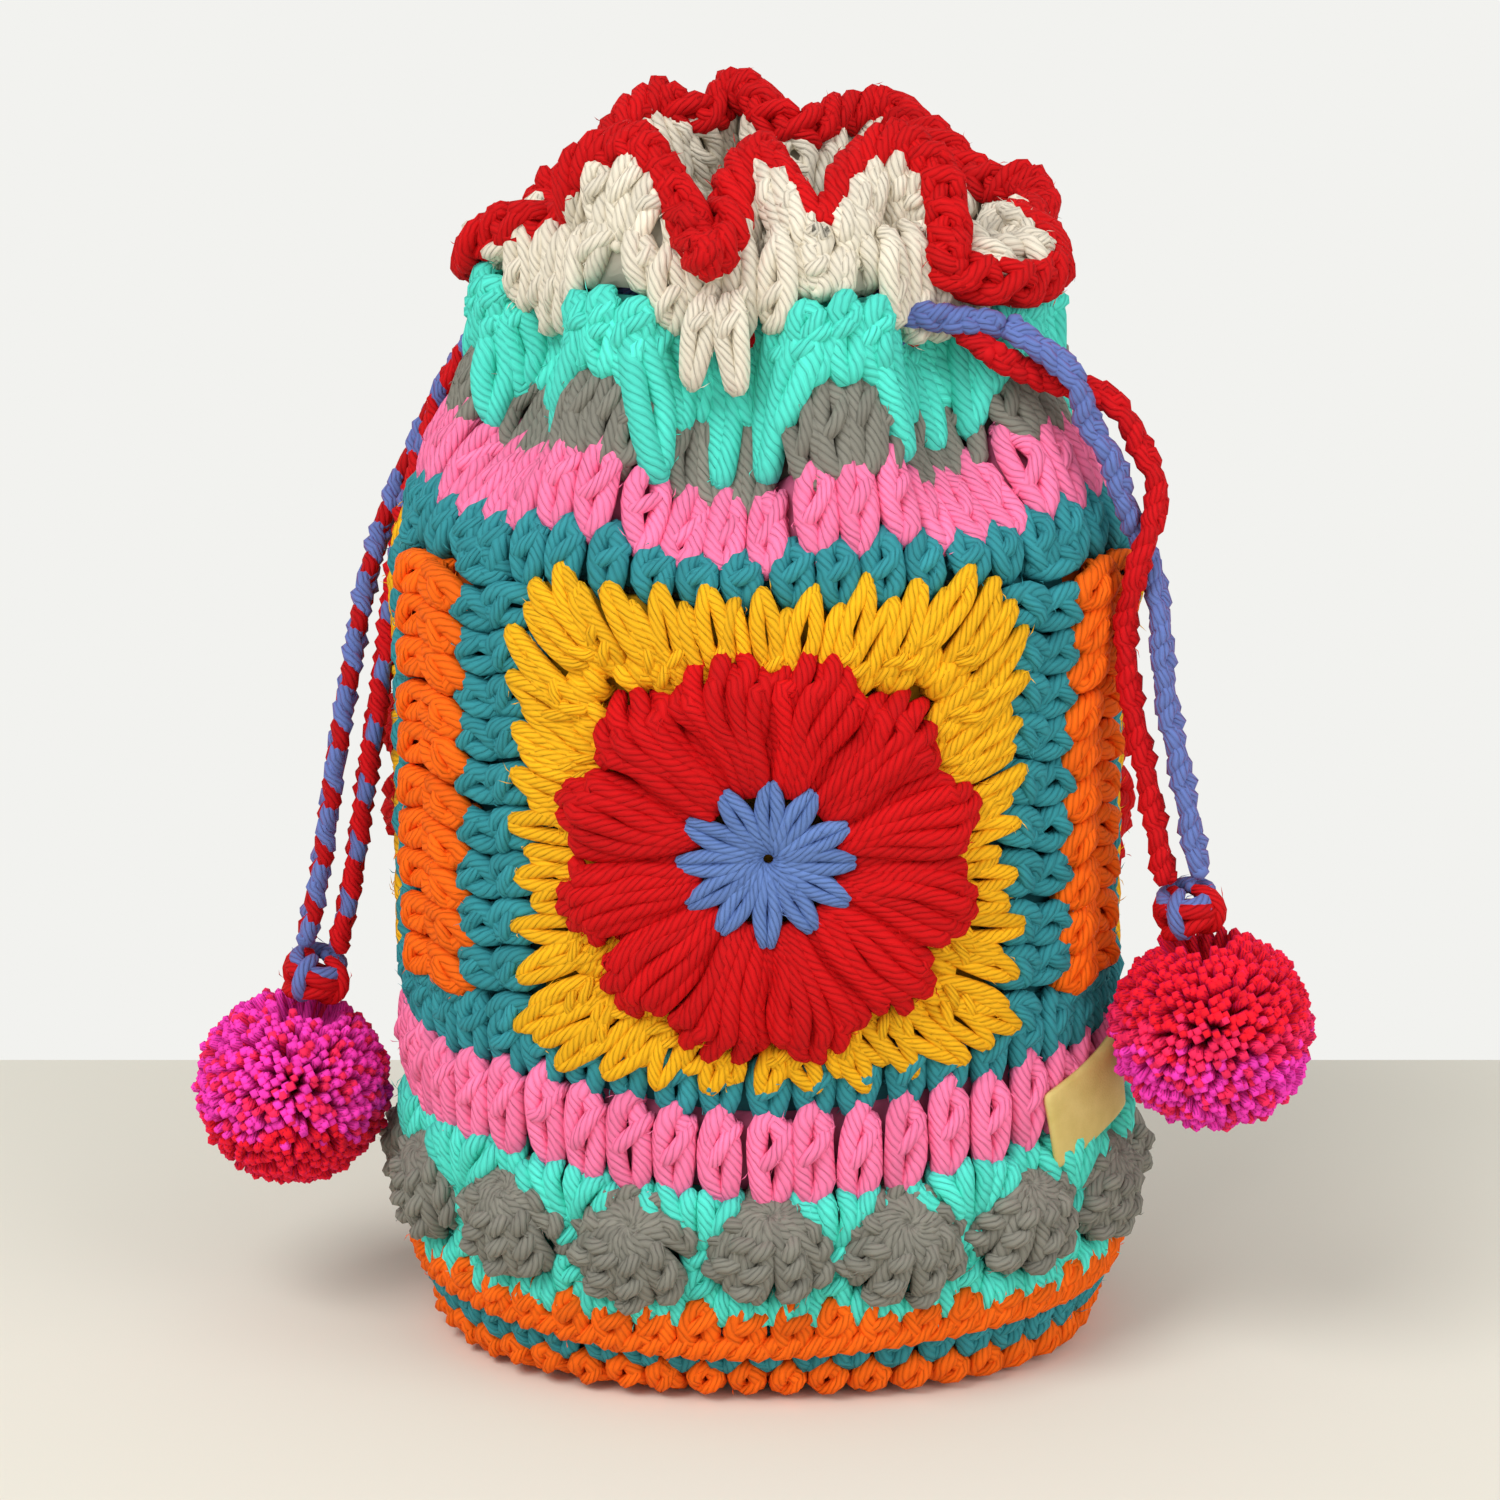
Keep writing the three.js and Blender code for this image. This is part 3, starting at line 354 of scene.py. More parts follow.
class Yarn:
    """Collects strands and sheets of one piece and makes them one mesh."""

    def __init__(self, sides=7, step=2.1, hairs=HAIRS_PER_RING):
        self.sides = sides
        self.step = step
        self.hairs = hairs
        self.strands = []
        self.parts = []

    def strand(self, points, radius, tone=None, hue=0.0, ends=0.6):
        """One strand through the points; ends is its thickness there as a share."""
        points = np.asarray(points, float)
        if tone is None:
            tone = random.normal(0, 0.6)
        shares = np.linspace(0, 1, 4 * len(points))
        length = step_lengths(catmull(points, shares)).sum()
        rings = int(np.clip(round(length / self.step) + 1, 4, 900))
        self.strands.append((rings, points, radius, tone, hue, ends))

    def sheet(self, grid, around=True):
        """A grid of points, closed round its first side, as the cloth behind the strands, darkened with
        painted shade for the gaps between them.
        """
        rows, cols, _ = grid.shape
        verts = grid.reshape(-1, 3)
        i, j = np.meshgrid(np.arange(rows), np.arange(cols), indexing="ij")
        i = i if around else i[:-1]
        j = j[: len(i)]
        a = i * cols + j
        b = (i + 1) % rows * cols + j
        c = (i + 1) % rows * cols + (j + 1) % cols
        d = i * cols + (j + 1) % cols
        quads = np.stack([a, b, c, d], -1).reshape(-1, 4)
        uv = np.zeros((len(quads), 4, 2))
        none = np.zeros(len(verts))
        # Painted shade: the sheet takes the dark tone of the gaps between stitches
        self.parts.append((verts, quads, uv, none + GAP_SHADE_TONE, none, NO_TRIANGLES))

    def fuzz(self, lines, along, sideways, radius, tones, hues):
        """Loose fibres: thin closed spikes that leave the strands and bend along them."""
        number, count, _ = lines.shape
        many = int(number * (count - 2) * self.hairs)

        def draw(low, high):
            return random.uniform(low, high, (many, 1))

        i = random.integers(0, number, many)
        k = random.integers(1, count - 1, many)
        turn = draw(0, TAU)
        out = about(sideways[0][i, k], sideways[1][i, k], turn)
        aside = np.cross(along[i, k], out)
        way = along[i, k] * random.choice((-1, 1), many)[:, None]
        way = unit(way + aside * random.normal(0, 0.9, (many, 1)))
        root = lines[i, k] + out * radius[i, k][:, None] * 0.92
        middle = root + out * draw(0.25, 0.8) + way * draw(0.6, 1.3)
        tip = middle + out * draw(-0.4, 0.6) + way * draw(0.6, 1.7)
        hair = unit(tip - root)
        one = unit(np.cross(hair, out))
        two = np.cross(hair, one)
        section = HAIR_RADIUS * about(one[:, None], two[:, None], np.arange(3)[:, None] / 3 * TAU)
        foot = root - hair * 0.2
        verts = np.concatenate([foot[:, None], middle[:, None] + section, tip[:, None]], 1)
        verts[..., 2] = np.maximum(verts[..., 2], HAIR_LOWEST)
        faces = np.array([(0, 2, 1), (0, 3, 2), (0, 1, 3), (4, 1, 2), (4, 2, 3), (4, 3, 1)])
        faces = faces[None] + 5 * np.arange(many)[:, None, None]
        return (verts.reshape(-1, 3), np.zeros((0, 4), int), np.zeros((0, 4, 2)),
                np.repeat(tones[i] + 1, 5), np.repeat(hues[i], 5), faces.reshape(-1, 3))

    def rings(self, count, strands):
        """Tubes of all the strands that have the same number of rings."""
        share = np.linspace(0, 1, count)
        lines = np.stack([catmull(points, share) for _, points, *_ in strands])
        along = unit(np.gradient(lines, axis=1))
        aside = np.cross(along[:, 0], np.array([0.31, 0.17, 0.93]))
        normals = np.empty_like(lines)
        for k in range(count):
            aside = aside - along[:, k] * (aside * along[:, k]).sum(-1, keepdims=True)
            aside = unit(aside)
            normals[:, k] = aside
        second = np.cross(along, normals)
        turn = np.arange(self.sides) / self.sides * TAU
        radius, tones, hues, ends = np.array([strand[2:] for strand in strands], float).T
        ends = ends[:, None]
        grown = np.sin(np.clip(np.minimum(share, 1 - share) * 5, 0, 1) * math.pi / 2)
        radius = radius[:, None] * (ends + (1 - ends) * grown)
        circle = about(normals[:, :, None], second[:, :, None], turn[:, None])
        tube = lines[:, :, None, :] + circle * radius[:, :, None, None]
        number, sides = len(strands), self.sides
        verts = tube.reshape(number, -1, 3)
        caps = np.stack([
            lines[:, 0] - along[:, 0] * radius[:, :1] * 0.6,
            lines[:, -1] + along[:, -1] * radius[:, -1:] * 0.6,
        ], 1)
        verts = np.concatenate([verts, caps], 1)
        per = verts.shape[1]
        k, j = np.meshgrid(np.arange(count - 1), np.arange(sides), indexing="ij")
        a = (k * sides + j).ravel()
        b = (k * sides + (j + 1) % sides).ravel()
        quads = np.stack([a, b, b + sides, a + sides], -1)
        lengths = np.concatenate([np.zeros((number, 1)), np.cumsum(step_lengths(lines), axis=1)], 1)
        u = np.stack([j, j + 1, j + 1, j], -1).reshape(-1, 4) / sides
        low = lengths[:, k.ravel()]
        high = lengths[:, k.ravel() + 1]
        v = np.stack([low, low, high, high], -1)
        uv = np.stack([np.broadcast_to(u, v.shape), v], -1)
        here, top = np.arange(sides), (count - 1) * sides
        after = (here + 1) % sides
        start = np.stack([here * 0 + per - 2, after, here], -1)
        end = np.stack([here * 0 + per - 1, top + here, top + after], -1)
        tris = np.concatenate([start, end])
        offset = (np.arange(number) * per)[:, None, None]
        tubes = (verts.reshape(-1, 3), (quads[None] + offset).reshape(-1, 4), uv.reshape(-1, 4, 2),
                 np.repeat(tones, per), np.repeat(hues, per), (tris[None] + offset).reshape(-1, 3))
        return tubes, self.fuzz(lines, along, (normals, second), radius, tones, hues)

    def make(self, name, material, slot, *nodes):
        """The mesh as a piece that stands for CAD nodes."""
        groups = {}
        for strand in self.strands:
            groups.setdefault(strand[0], []).append(strand)
        parts = list(self.parts)
        for count, strands in sorted(groups.items()):
            parts += self.rings(count, strands)
        verts, quads, uvs, tones, hues, tris = zip(*parts)
        shifts = np.cumsum([0] + [len(v) for v in verts[:-1]])
        quads = np.concatenate([q + shift for q, shift in zip(quads, shifts)])
        tris = np.concatenate([t + shift for t, shift in zip(tris, shifts)])
        verts = np.concatenate(verts)
        mesh = bpy.data.meshes.new(name)
        mesh.vertices.add(len(verts))
        mesh.vertices.foreach_set("co", (verts * MM).ravel())
        mesh.loops.add(4 * len(quads) + 3 * len(tris))
        mesh.loops.foreach_set("vertex_index", np.concatenate([quads.ravel(), tris.ravel()]))
        mesh.polygons.add(len(quads) + len(tris))
        starts = np.concatenate([4 * np.arange(len(quads)), 4 * len(quads) + 3 * np.arange(len(tris))])
        mesh.polygons.foreach_set("loop_start", starts)
        mesh.polygons.foreach_set("use_smooth", np.ones(len(starts), bool))
        layer = mesh.uv_layers.new(name="yarn")
        flat = np.concatenate([np.concatenate(uvs).reshape(-1, 2), np.zeros((3 * len(tris), 2))])
        layer.data.foreach_set("uv", flat.ravel())
        for key, values in (("tone", tones), ("hue", hues)):
            attribute = mesh.attributes.new(key, "FLOAT", "POINT")
            attribute.data.foreach_set("value", np.concatenate(values))
        mesh.update(calc_edges=True)
        return dress(mesh, material, slot, *nodes)


# Materials
def linear(colour):
    values = np.array(colour) / 255
    return tuple(np.where(values <= 0.04045, values / 12.92, ((values + 0.055) / 1.055) ** 2.4)) + (1,)


class Nodes:
    """Short way to write a node material."""

    def __init__(self, name, roughness, sheen=0.0):
        self.material = bpy.data.materials.new(name)
        self.material.use_nodes = True
        self.tree = self.material.node_tree
        self.shader = self.tree.nodes["Principled BSDF"]
        self.shader.inputs["Roughness"].default_value = roughness
        self.shader.inputs["Specular IOR Level"].default_value = 0.15
        self.shader.inputs["Sheen Weight"].default_value = sheen
        self.shader.inputs["Sheen Roughness"].default_value = 0.5

    def node(self, kind, **values):
        made = self.tree.nodes.new(kind)
        for key, value in values.items():
            setattr(made, key, value)
        return made

    def set(self, socket, value):
        if isinstance(value, bpy.types.NodeSocket):
            self.tree.links.new(value, socket)
        else:
            socket.default_value = value

    def math(self, operation, *values):
        made = self.node("ShaderNodeMath", operation=operation)
        for socket, value in zip(made.inputs, values):
            self.set(socket, value)
        return made.outputs[0]

    def place(self):
        return self.node("ShaderNodeTexCoord").outputs["Object"]

    def finish(self, colour, normal):
        self.set(self.shader.inputs["Base Color"], colour)
        self.set(self.shader.inputs["Normal"], normal)
        return self.material

    def value(self, name):
        return self.node("ShaderNodeAttribute", attribute_name=name).outputs["Fac"]

    def mix(self, factor, a, b, blend="MIX"):
        made = self.node("ShaderNodeMix", data_type="RGBA", blend_type=blend)
        self.set(made.inputs["Factor"], factor)
        self.set(made.inputs[6], a)
        self.set(made.inputs[7], b)
        return made.outputs[2]

    def noise(self, vector, scale, detail=3.0):
        made = self.node("ShaderNodeTexNoise")
        self.set(made.inputs["Vector"], vector)
        made.inputs["Scale"].default_value = scale
        made.inputs["Detail"].default_value = detail
        return made.outputs["Fac"]

    def bump(self, height, distance, strength=1.0, below=None):
        made = self.node("ShaderNodeBump")
        made.inputs["Strength"].default_value = strength
        made.inputs["Distance"].default_value = distance
        self.set(made.inputs["Height"], height)
        if below is not None:
            self.set(made.inputs["Normal"], below)
        return made.outputs["Normal"]


PLIES = 7  # plies seen round one strand
GROOVE_SHADE = 0.26  # share of the colour lost to painted shade in the grooves between plies
FIBRE = 0.42  # share of the colour that changes from fibre to fibre
PLY_SPACING = 1.75  # millimetres between ply lines along a strand


def yarn_material(name, *colours):
    """Twisted yarn: plies and fibres along each strand, with painted shade in the grooves between
    plies, and a tone of its own for each strand.
    """
    nodes = Nodes(name, roughness=0.75, sheen=0.4)
    bright = linear(colours[0])
    nodes.shader.inputs["Sheen Tint"].default_value = bright
    uv = nodes.node("ShaderNodeUVMap", uv_map="yarn").outputs[0]
    split = nodes.node("ShaderNodeSeparateXYZ")
    nodes.set(split.inputs[0], uv)
    around, along = split.outputs[0], split.outputs[1]
    patch = nodes.noise(nodes.place(), 90.0, 2.0)
    uneven = nodes.math("MULTIPLY", patch, 3.0)
    ply = nodes.math("ADD", nodes.math("MULTIPLY_ADD", around, float(PLIES), uneven),
                     nodes.math("MULTIPLY", along, 1 / PLY_SPACING))
    round_ply = nodes.math("ABSOLUTE", nodes.math("SINE", nodes.math("MULTIPLY", ply, math.pi)))
    ridge = nodes.math("POWER", round_ply, 0.6)
    join = nodes.node("ShaderNodeCombineXYZ")
    nodes.set(join.inputs[0], nodes.math("MULTIPLY", ply, 4.0))
    nodes.set(join.inputs[1], nodes.math("MULTIPLY", along, 0.3))
    nodes.set(join.inputs[2], nodes.value("tone"))
    fibre = nodes.noise(join.outputs[0], 1.8, 4.0)
    base = bright
    if len(colours) > 1:
        hue = nodes.value("hue")
        base = nodes.mix(hue, bright, linear(colours[1]))
        if len(colours) > 2:
            base = nodes.mix(nodes.math("SUBTRACT", hue, 1.0), base, linear(colours[2]))
    # Painted light and shade: light on the plies and dark in the grooves, as one grey that multiplies
    # the colour
    lit = nodes.math("MULTIPLY_ADD", ridge, GROOVE_SHADE, 1.06 - GROOVE_SHADE - FIBRE / 2)
    lit = nodes.math("MULTIPLY_ADD", fibre, FIBRE, lit)
    # The strand's tone, and the low tone of the backing sheets as painted shade in the gaps between
    # stitches
    lit = nodes.math("MULTIPLY", lit, nodes.math("MULTIPLY_ADD", nodes.value("tone"), 0.1, 1.0))
    grey = nodes.node("ShaderNodeCombineColor")
    for socket in grey.inputs[:3]:
        nodes.set(socket, lit)
    colour = nodes.mix(1.0, base, grey.outputs[0], "MULTIPLY")
    return nodes.finish(colour, nodes.bump(fibre, 0.0002, 0.6, nodes.bump(ridge, 0.0003, 0.8)))


def leather_material():
    nodes = Nodes("tan_leather", roughness=0.5)
    place = nodes.place()
    grain = nodes.node("ShaderNodeTexVoronoi")
    nodes.set(grain.inputs["Vector"], place)
    grain.inputs["Scale"].default_value = 2600.0
    mottle = nodes.noise(place, 220.0, 4.0)
    colour = nodes.mix(mottle, linear((196, 172, 92)), linear((228, 207, 134)))
    return nodes.finish(colour, nodes.bump(grain.outputs["Distance"], 0.0001, 0.5))


def cloth_material():
    nodes = Nodes("lining_cloth", roughness=0.9, sheen=0.2)
    place = nodes.place()
    threads = []
    for direction in ("X", "Z"):
        wave = nodes.node("ShaderNodeTexWave", bands_direction=direction)
        nodes.set(wave.inputs["Vector"], place)
        wave.inputs["Scale"].default_value = 420.0
        wave.inputs["Distortion"].default_value = 0.6
        threads.append(wave.outputs["Fac"])
    weave = nodes.math("MULTIPLY", threads[0], threads[1])
    colour = nodes.mix(weave, linear((176, 164, 118)), linear((208, 198, 156)))
    return nodes.finish(colour, nodes.bump(weave, 0.0001, 0.6))


TEAL = yarn_material("teal_yarn", (52, 141, 150))
ORANGE = yarn_material("orange_yarn", (250, 105, 15))
TURQUOISE = yarn_material("turquoise_yarn", (85, 225, 205))
GREY = yarn_material("grey_yarn", (131, 129, 119))
PINK = yarn_material("pink_yarn", (255, 126, 172))
YELLOW = yarn_material("yellow_yarn", (245, 180, 25))
RED = yarn_material("red_yarn", (200, 10, 15))
BLUE = yarn_material("blue_yarn", (98, 126, 184))
CREAM = yarn_material("cream_yarn", (227, 218, 199))
CORD_YARN = yarn_material("drawstring_yarn", (200, 12, 20), (98, 120, 184))
POMPOM_YARN = yarn_material("pompom_yarn", (250, 62, 186), (248, 42, 92), (238, 24, 40))


# Stitches, each a few strands in a cell from 0 to 1 upwards and from -0.5 to 0.5 across
def leaf(plump=1.0):
    """A treble from the front: two legs that close at both ends, and a strand wound over them."""
    return [
        ([(0.12, -0.12, -2.6), (-0.04, 0.02, -0.4), (-0.22, 0.26, 1.0), (-0.27, 0.58, 1.3),
          (-0.2, 0.86, 1.2), (0.0, 1.0, 0.5), (0.12, 1.0, -1.6)], 1.8 * plump),
        ([(-0.10, -0.10, -2.8), (0.06, 0.05, -0.1), (0.23, 0.28, 1.1), (0.26, 0.60, 1.2),
          (0.17, 0.84, 0.8), (0.02, 0.93, -0.2), (-0.10, 0.96, -2.0)], 1.8 * plump),
        ([(-0.40, 0.38, -0.8), (-0.20, 0.48, 1.9), (0.06, 0.62, 2.6), (0.28, 0.76, 1.8),
          (0.38, 0.86, -0.8)], 1.35 * plump),
    ]


def legs():
    """A shorter stitch: a V of two strands."""
    return [
        ([(0.14, -0.1, -2.0), (-0.05, 0.06, 0.2), (-0.23, 0.4, 1.3), (-0.29, 0.8, 1.2),
          (-0.2, 1.02, -0.8)], 1.75),
        ([(-0.12, -0.12, -2.2), (0.08, 0.08, 0.5), (0.24, 0.42, 1.4), (0.28, 0.8, 1.1),
          (0.18, 1.04, -1.0)], 1.75),
    ]


def drop(plump=1.0):
    """A hanging loop: two strands that close to a point at the end, held by a short one."""
    return [
        ([(-0.1, -0.05, -1.0), (-0.28, 0.25, 1.2), (-0.28, 0.62, 1.5), (-0.12, 0.9, 1.0),
          (0.04, 1.02, -0.6)], 1.8 * plump),
        ([(0.12, -0.04, -0.8), (0.29, 0.28, 1.3), (0.26, 0.64, 1.4), (0.1, 0.92, 0.6),
          (-0.04, 1.0, -1.0)], 1.8 * plump),
        ([(-0.42, 0.12, -0.6), (-0.1, 0.2, 2.4), (0.2, 0.32, 2.3), (0.42, 0.42, -0.4)], 1.3 * plump),
    ]


SINK = 1.5  # millimetres by which the strands lie in the wall


def put(yarn, across, middle, low, high, lean=0.0, lie=False, thick=1.0, out=0.0, place=on_wall):
    """One leaf stitch in a cell of the surface; lie turns it on its side."""
    start = (low, middle) if lie else (middle, low)
    stop = (high, middle + lean) if lie else (middle + lean, high)
    stitch(yarn, leaf(), start, stop, across, thick, out, place=place)


def stitch(yarn, template, start, stop, across, thick=1.0, out=0.0, rise=0.0, place=on_wall):
    """One stitch from one place to another on a surface, as wide as the given width."""
    start, stop = np.asarray(start, float), np.asarray(stop, float)
    way = stop - start
    aside = np.array([way[1], -way[0]]) / np.linalg.norm(way) * across
    if abs(way[0]) > abs(way[1]):
        aside = aside * np.sign(way[0])
    wobble = random.normal(0, 1, 2)
    for points, radius in template:
        points = np.array(points) + random.normal(0, 0.034, (len(points), 3)) * (1, 0.8, 6)
        x = points[:, 0] + 0.03 * wobble[0]
        y = points[:, 1] + 0.03 * wobble[1]
        flat = start + y[:, None] * way + x[:, None] * aside
        n = (points[:, 2] - SINK) * thick + out + rise * points[:, 1]
        yarn.strand(place(np.column_stack([flat, n])), radius * thick)


BACKING_REACH = -2.9  # of the cloth behind the stitches, from the face of the wall
AROUND = np.arange(2 * STITCHES) / (2 * STITCHES) * PERIMETER


def backing(yarn, low, high, reach=BACKING_REACH):
    """Closed ring behind a round of stitches, darkened with painted shade for the gaps."""
    heights = np.linspace(low, high, 4)
    section = [(h, reach) for h in heights] + [(h, -WALL) for h in heights[::-1]]
    yarn.sheet(on_wall(np.array([[(a, h, r) for h, r in section] for a in AROUND])))


def strip(yarn, stations, section, upright=False, place=on_wall):
    """Backing of part of the way round, darkened with painted shade: a section of places and reaches at
    each station.
    """
    grid = [[(p, s, r) if upright else (s, p, r) for p, r in section] for s in stations]
    yarn.sheet(place(np.array(grid)), around=False)


def upright_strip(yarn, low, high, left, right):
    section = [(left, BACKING_REACH), (right, BACKING_REACH), (right, -WALL), (left, -WALL)]
    strip(yarn, np.linspace(low, high, 9), section, upright=True)


def leaf_round(low, high, offset=0.5, thick=1.0, out=0.0, extra=(0, 0)):
    """A round of leaf stitches on the wall."""
    yarn = Yarn()
    backing(yarn, low, high)
    for i in range(STITCHES):
        put(yarn, PITCH, (i + offset) * PITCH, low - extra[0], high + extra[1],
            thick=thick, out=out)
    return yarn


# Base
def make_base():
    def foot(points):
        points = np.asarray(points, float)
        turn = points[..., 0] / PERIMETER
        angle = angle_at(turn)
        outside = wall_radius(turn, np.full_like(turn, FOOT_TOP))
        path = points[..., 1]
        bend = np.clip(path, 0, 1) * math.pi / 2
        inward = FOOT_ROUNDING * (1 - np.sin(bend)) + np.clip(-path, 0, None) * 6
        radius = outside - inward + points[..., 2] * np.sin(bend)
        z = FOOT_START + (FOOT_TOP - FOOT_START) * (1 - np.cos(bend)) - points[..., 2] * np.cos(bend)
        z = np.maximum(z, LOWEST_LINE)
        return polar(angle, radius, z)

    yarn = Yarn()
    section = [(-0.6, -0.9), (0.0, -0.9), (0.5, -1.2), (1.0, -1.2), (1.0, -WALL), (-0.6, -3.0)]
    yarn.sheet(foot(np.array([[(a, p, r) for p, r in section] for a in AROUND])))
    for i in range(STITCHES):
        put(yarn, PITCH, (i + 0.5) * PITCH, -0.35, 1.05, thick=0.9, place=foot)
    yarn.make("yarn_base_orange", ORANGE, "orange_yarn", "base_orange_round")

    leaf_round(FOOT_TOP, BASE_TEAL_TOP, offset=0.0, thick=0.95).make(
        "yarn_base_teal", TEAL, "teal_yarn", "base_teal_round")

    yarn = Yarn(step=3)
    rows = 6
    for row in range(rows):
        inner = BASE_CENTRE_RADIUS * row / rows
        outer = BASE_CENTRE_RADIUS * (row + 1) / rows
        count = max(6, round(TAU * (inner + outer) / 2 / PITCH))
        for i in range(count):
            angle = TAU * (i + 0.5 * (row % 2)) / count
            for side in (-1, 0, 1):
                spread = side * TAU / count * 0.3
                angles = angle + spread * np.sin(np.linspace(0.35, math.pi - 0.2, 4))
                height = LOWEST_LINE + 0.4 * abs(side)
                yarn.strand(polar(angles, np.linspace(inner, outer, 4), height), 1.7)
    section = [(0.1, 1.6), (BASE_CENTRE_RADIUS, 1.6),
               (BASE_CENTRE_RADIUS, BASE_THICKNESS), (0.1, BASE_THICKNESS)]
    turns = np.arange(STITCHES) / STITCHES * TAU
    yarn.sheet(np.array([[polar(a, r, z) for r, z in section] for a in turns]))
    yarn.make("yarn_base_centre", TEAL, "teal_yarn", "base_centre")


def make_ridge():
    yarn = Yarn()
    backing(yarn, BASE_TEAL_TOP, RIDGE_TOP, reach=-0.8)

    def lip_height(along):
        front = (along / PERIMETER + 0.52) % 1 - 0.5
        return RIDGE_TOP - SIDE_LIP - (RIDGE_LIP - SIDE_LIP) * np.exp(-((front / 0.1) ** 2))

    for i in range(STITCHES):
        at = (i + 0.5) * PITCH
        put(yarn, PITCH, at, lip_height(at) + 0.5, RIDGE_TOP + 1.6, out=2.6)
    # Chain of loops along the lip
    along = np.linspace(0, PERIMETER, STITCHES * 8 + 1)
    for k in range(2):
        phase = TAU * along / PITCH + k * math.pi
        height = lip_height(along) + 1.6 + 1.3 * np.sin(phase)
        points = np.stack([along, height, 2.0 + 0.9 * np.cos(phase)], -1)
        yarn.strand(on_wall(points), 1.5, tone=0.1 * k, ends=1.0)
    yarn.make("yarn_ridge", ORANGE, "orange_yarn", "orange_ridge")


# Bobbles and the round behind them
def wall_frame(along, height, reach=0.0):
    """Place and directions on the wall: along the round, outwards and up."""
    step = 1.6
    across = on_wall((along + step, height, 0)) - on_wall((along - step, height, 0))
    across[2] = 0
    across = unit(across)
    rise = unit(on_wall((along, height + 6, 0)) - on_wall((along, height - 6, 0)))
    out = unit(np.cross(across, rise))
    return on_wall((along, height, reach)), across, out, np.cross(out, across)


def make_bobbles():
    """Popcorn stitches: trebles fanned over a cushion from the place near its top where they close."""
    tilt = math.radians(48)
    size = np.array([BOBBLE_WIDTH / 2 + 0.5, BOBBLE_REACH + 1.6, BOBBLE_HEIGHT / 2 + 1.2])
    for i in range(BOBBLES):
        centre, across, out, up = wall_frame(i / BOBBLES * PERIMETER, BOBBLE_CENTRE - 0.8, -1.6)
        basis = np.stack([across, out, up])
        own_tilt = tilt + random.normal(0, 0.12)
        hub = np.array([random.normal(0, 0.08), math.cos(own_tilt), math.sin(own_tilt)])
        hub = hub / np.linalg.norm(hub)
        side = unit(np.cross(hub, (0.0, 0.0, 1.0)))
        down = np.cross(hub, side)

        def cushion(spin, bend, lift):
            spin, bend = np.asarray(spin, float), np.asarray(bend, float)
            ways = about(hub, about(side, down, spin[:, None]), bend[:, None])
            return centre + (ways * (size + np.asarray(lift)[:, None])) @ basis

        yarn = Yarn(step=1.7)
        start = random.uniform(0, TAU)
        for k in range(TREBLES):
            spin = start + TAU * (k + random.normal(0, 0.08)) / TREBLES
            for leg in (-1, 1):
                bend = np.array([0.03, 0.36, 0.75, 1.1, 1.45, 1.8])
                turn = spin + leg * np.array([0.02, 0.15, 0.2, 0.19, 0.17, 0.1])
                turn = turn + random.normal(0, 0.02, 6)
                lift = (-1.0, -0.9, -0.8, -0.8, -1.0, -1.6)
                yarn.strand(cushion(turn, bend, lift), 1.75)
            for row, at in enumerate((0.62, 1.0, 1.35)):
                shift = 0.1 * (row - 1) + random.normal(0, 0.04)
                turn = spin + shift + np.array([-0.3, -0.12, 0.1, 0.26])
                bend = at + np.array([-0.14, -0.03, 0.07, 0.16]) + random.normal(0, 0.03)
                yarn.strand(cushion(turn, bend, (-1.6, 0.5, 0.9, -1.4)), 1.45, ends=0.5)
        name = f"bobble_{i + 1:02d}"
        yarn.make(f"yarn_{name}", GREY, "grey_yarn", name)


def make_turquoise_lower():
    yarn = Yarn()
    backing(yarn, RIDGE_TOP, BOBBLE_ROUND_TOP, reach=-3.6)
    gap = PERIMETER / BOBBLES
    for i in range(BOBBLES):
        middle = (i + 0.5) * gap
        # Column between two bobbles, and three lobes that spread from its top
        stitch(yarn, leaf(), (middle - 0.4, 16.6), (middle + 0.3, 26.5), 7.6, out=1.4)
        stitch(yarn, leaf(), (middle + 0.4, 24.5), (middle - 0.2, 34.5), 6.6, out=1.2)
        for lobe in (-1, 0, 1):
            stitch(yarn, legs(), (middle + 1.7 * lobe, 32.5 + 0.8 * abs(lobe)),
                   (middle + 7.4 * lobe, 45.6 - 1.6 * abs(lobe)), 6.4, out=1.6, rise=0.9)
        # Tips under each bobble, and short stitches above it
        for tip in (-6.6, -2.2, 2.2, 6.6):
            at = i * gap + tip
            stitch(yarn, legs(), (at, 21.5), (at, 15.6), 4.6, thick=0.9, out=2.6)
        for tip in (-7, 0, 7):
            at = i * gap + tip
            stitch(yarn, legs(), (at, 38), (at, 46), 5.6, out=0.2)
    yarn.make("yarn_turquoise_lower", TURQUOISE, "turquoise_yarn", "turquoise_round_lower")


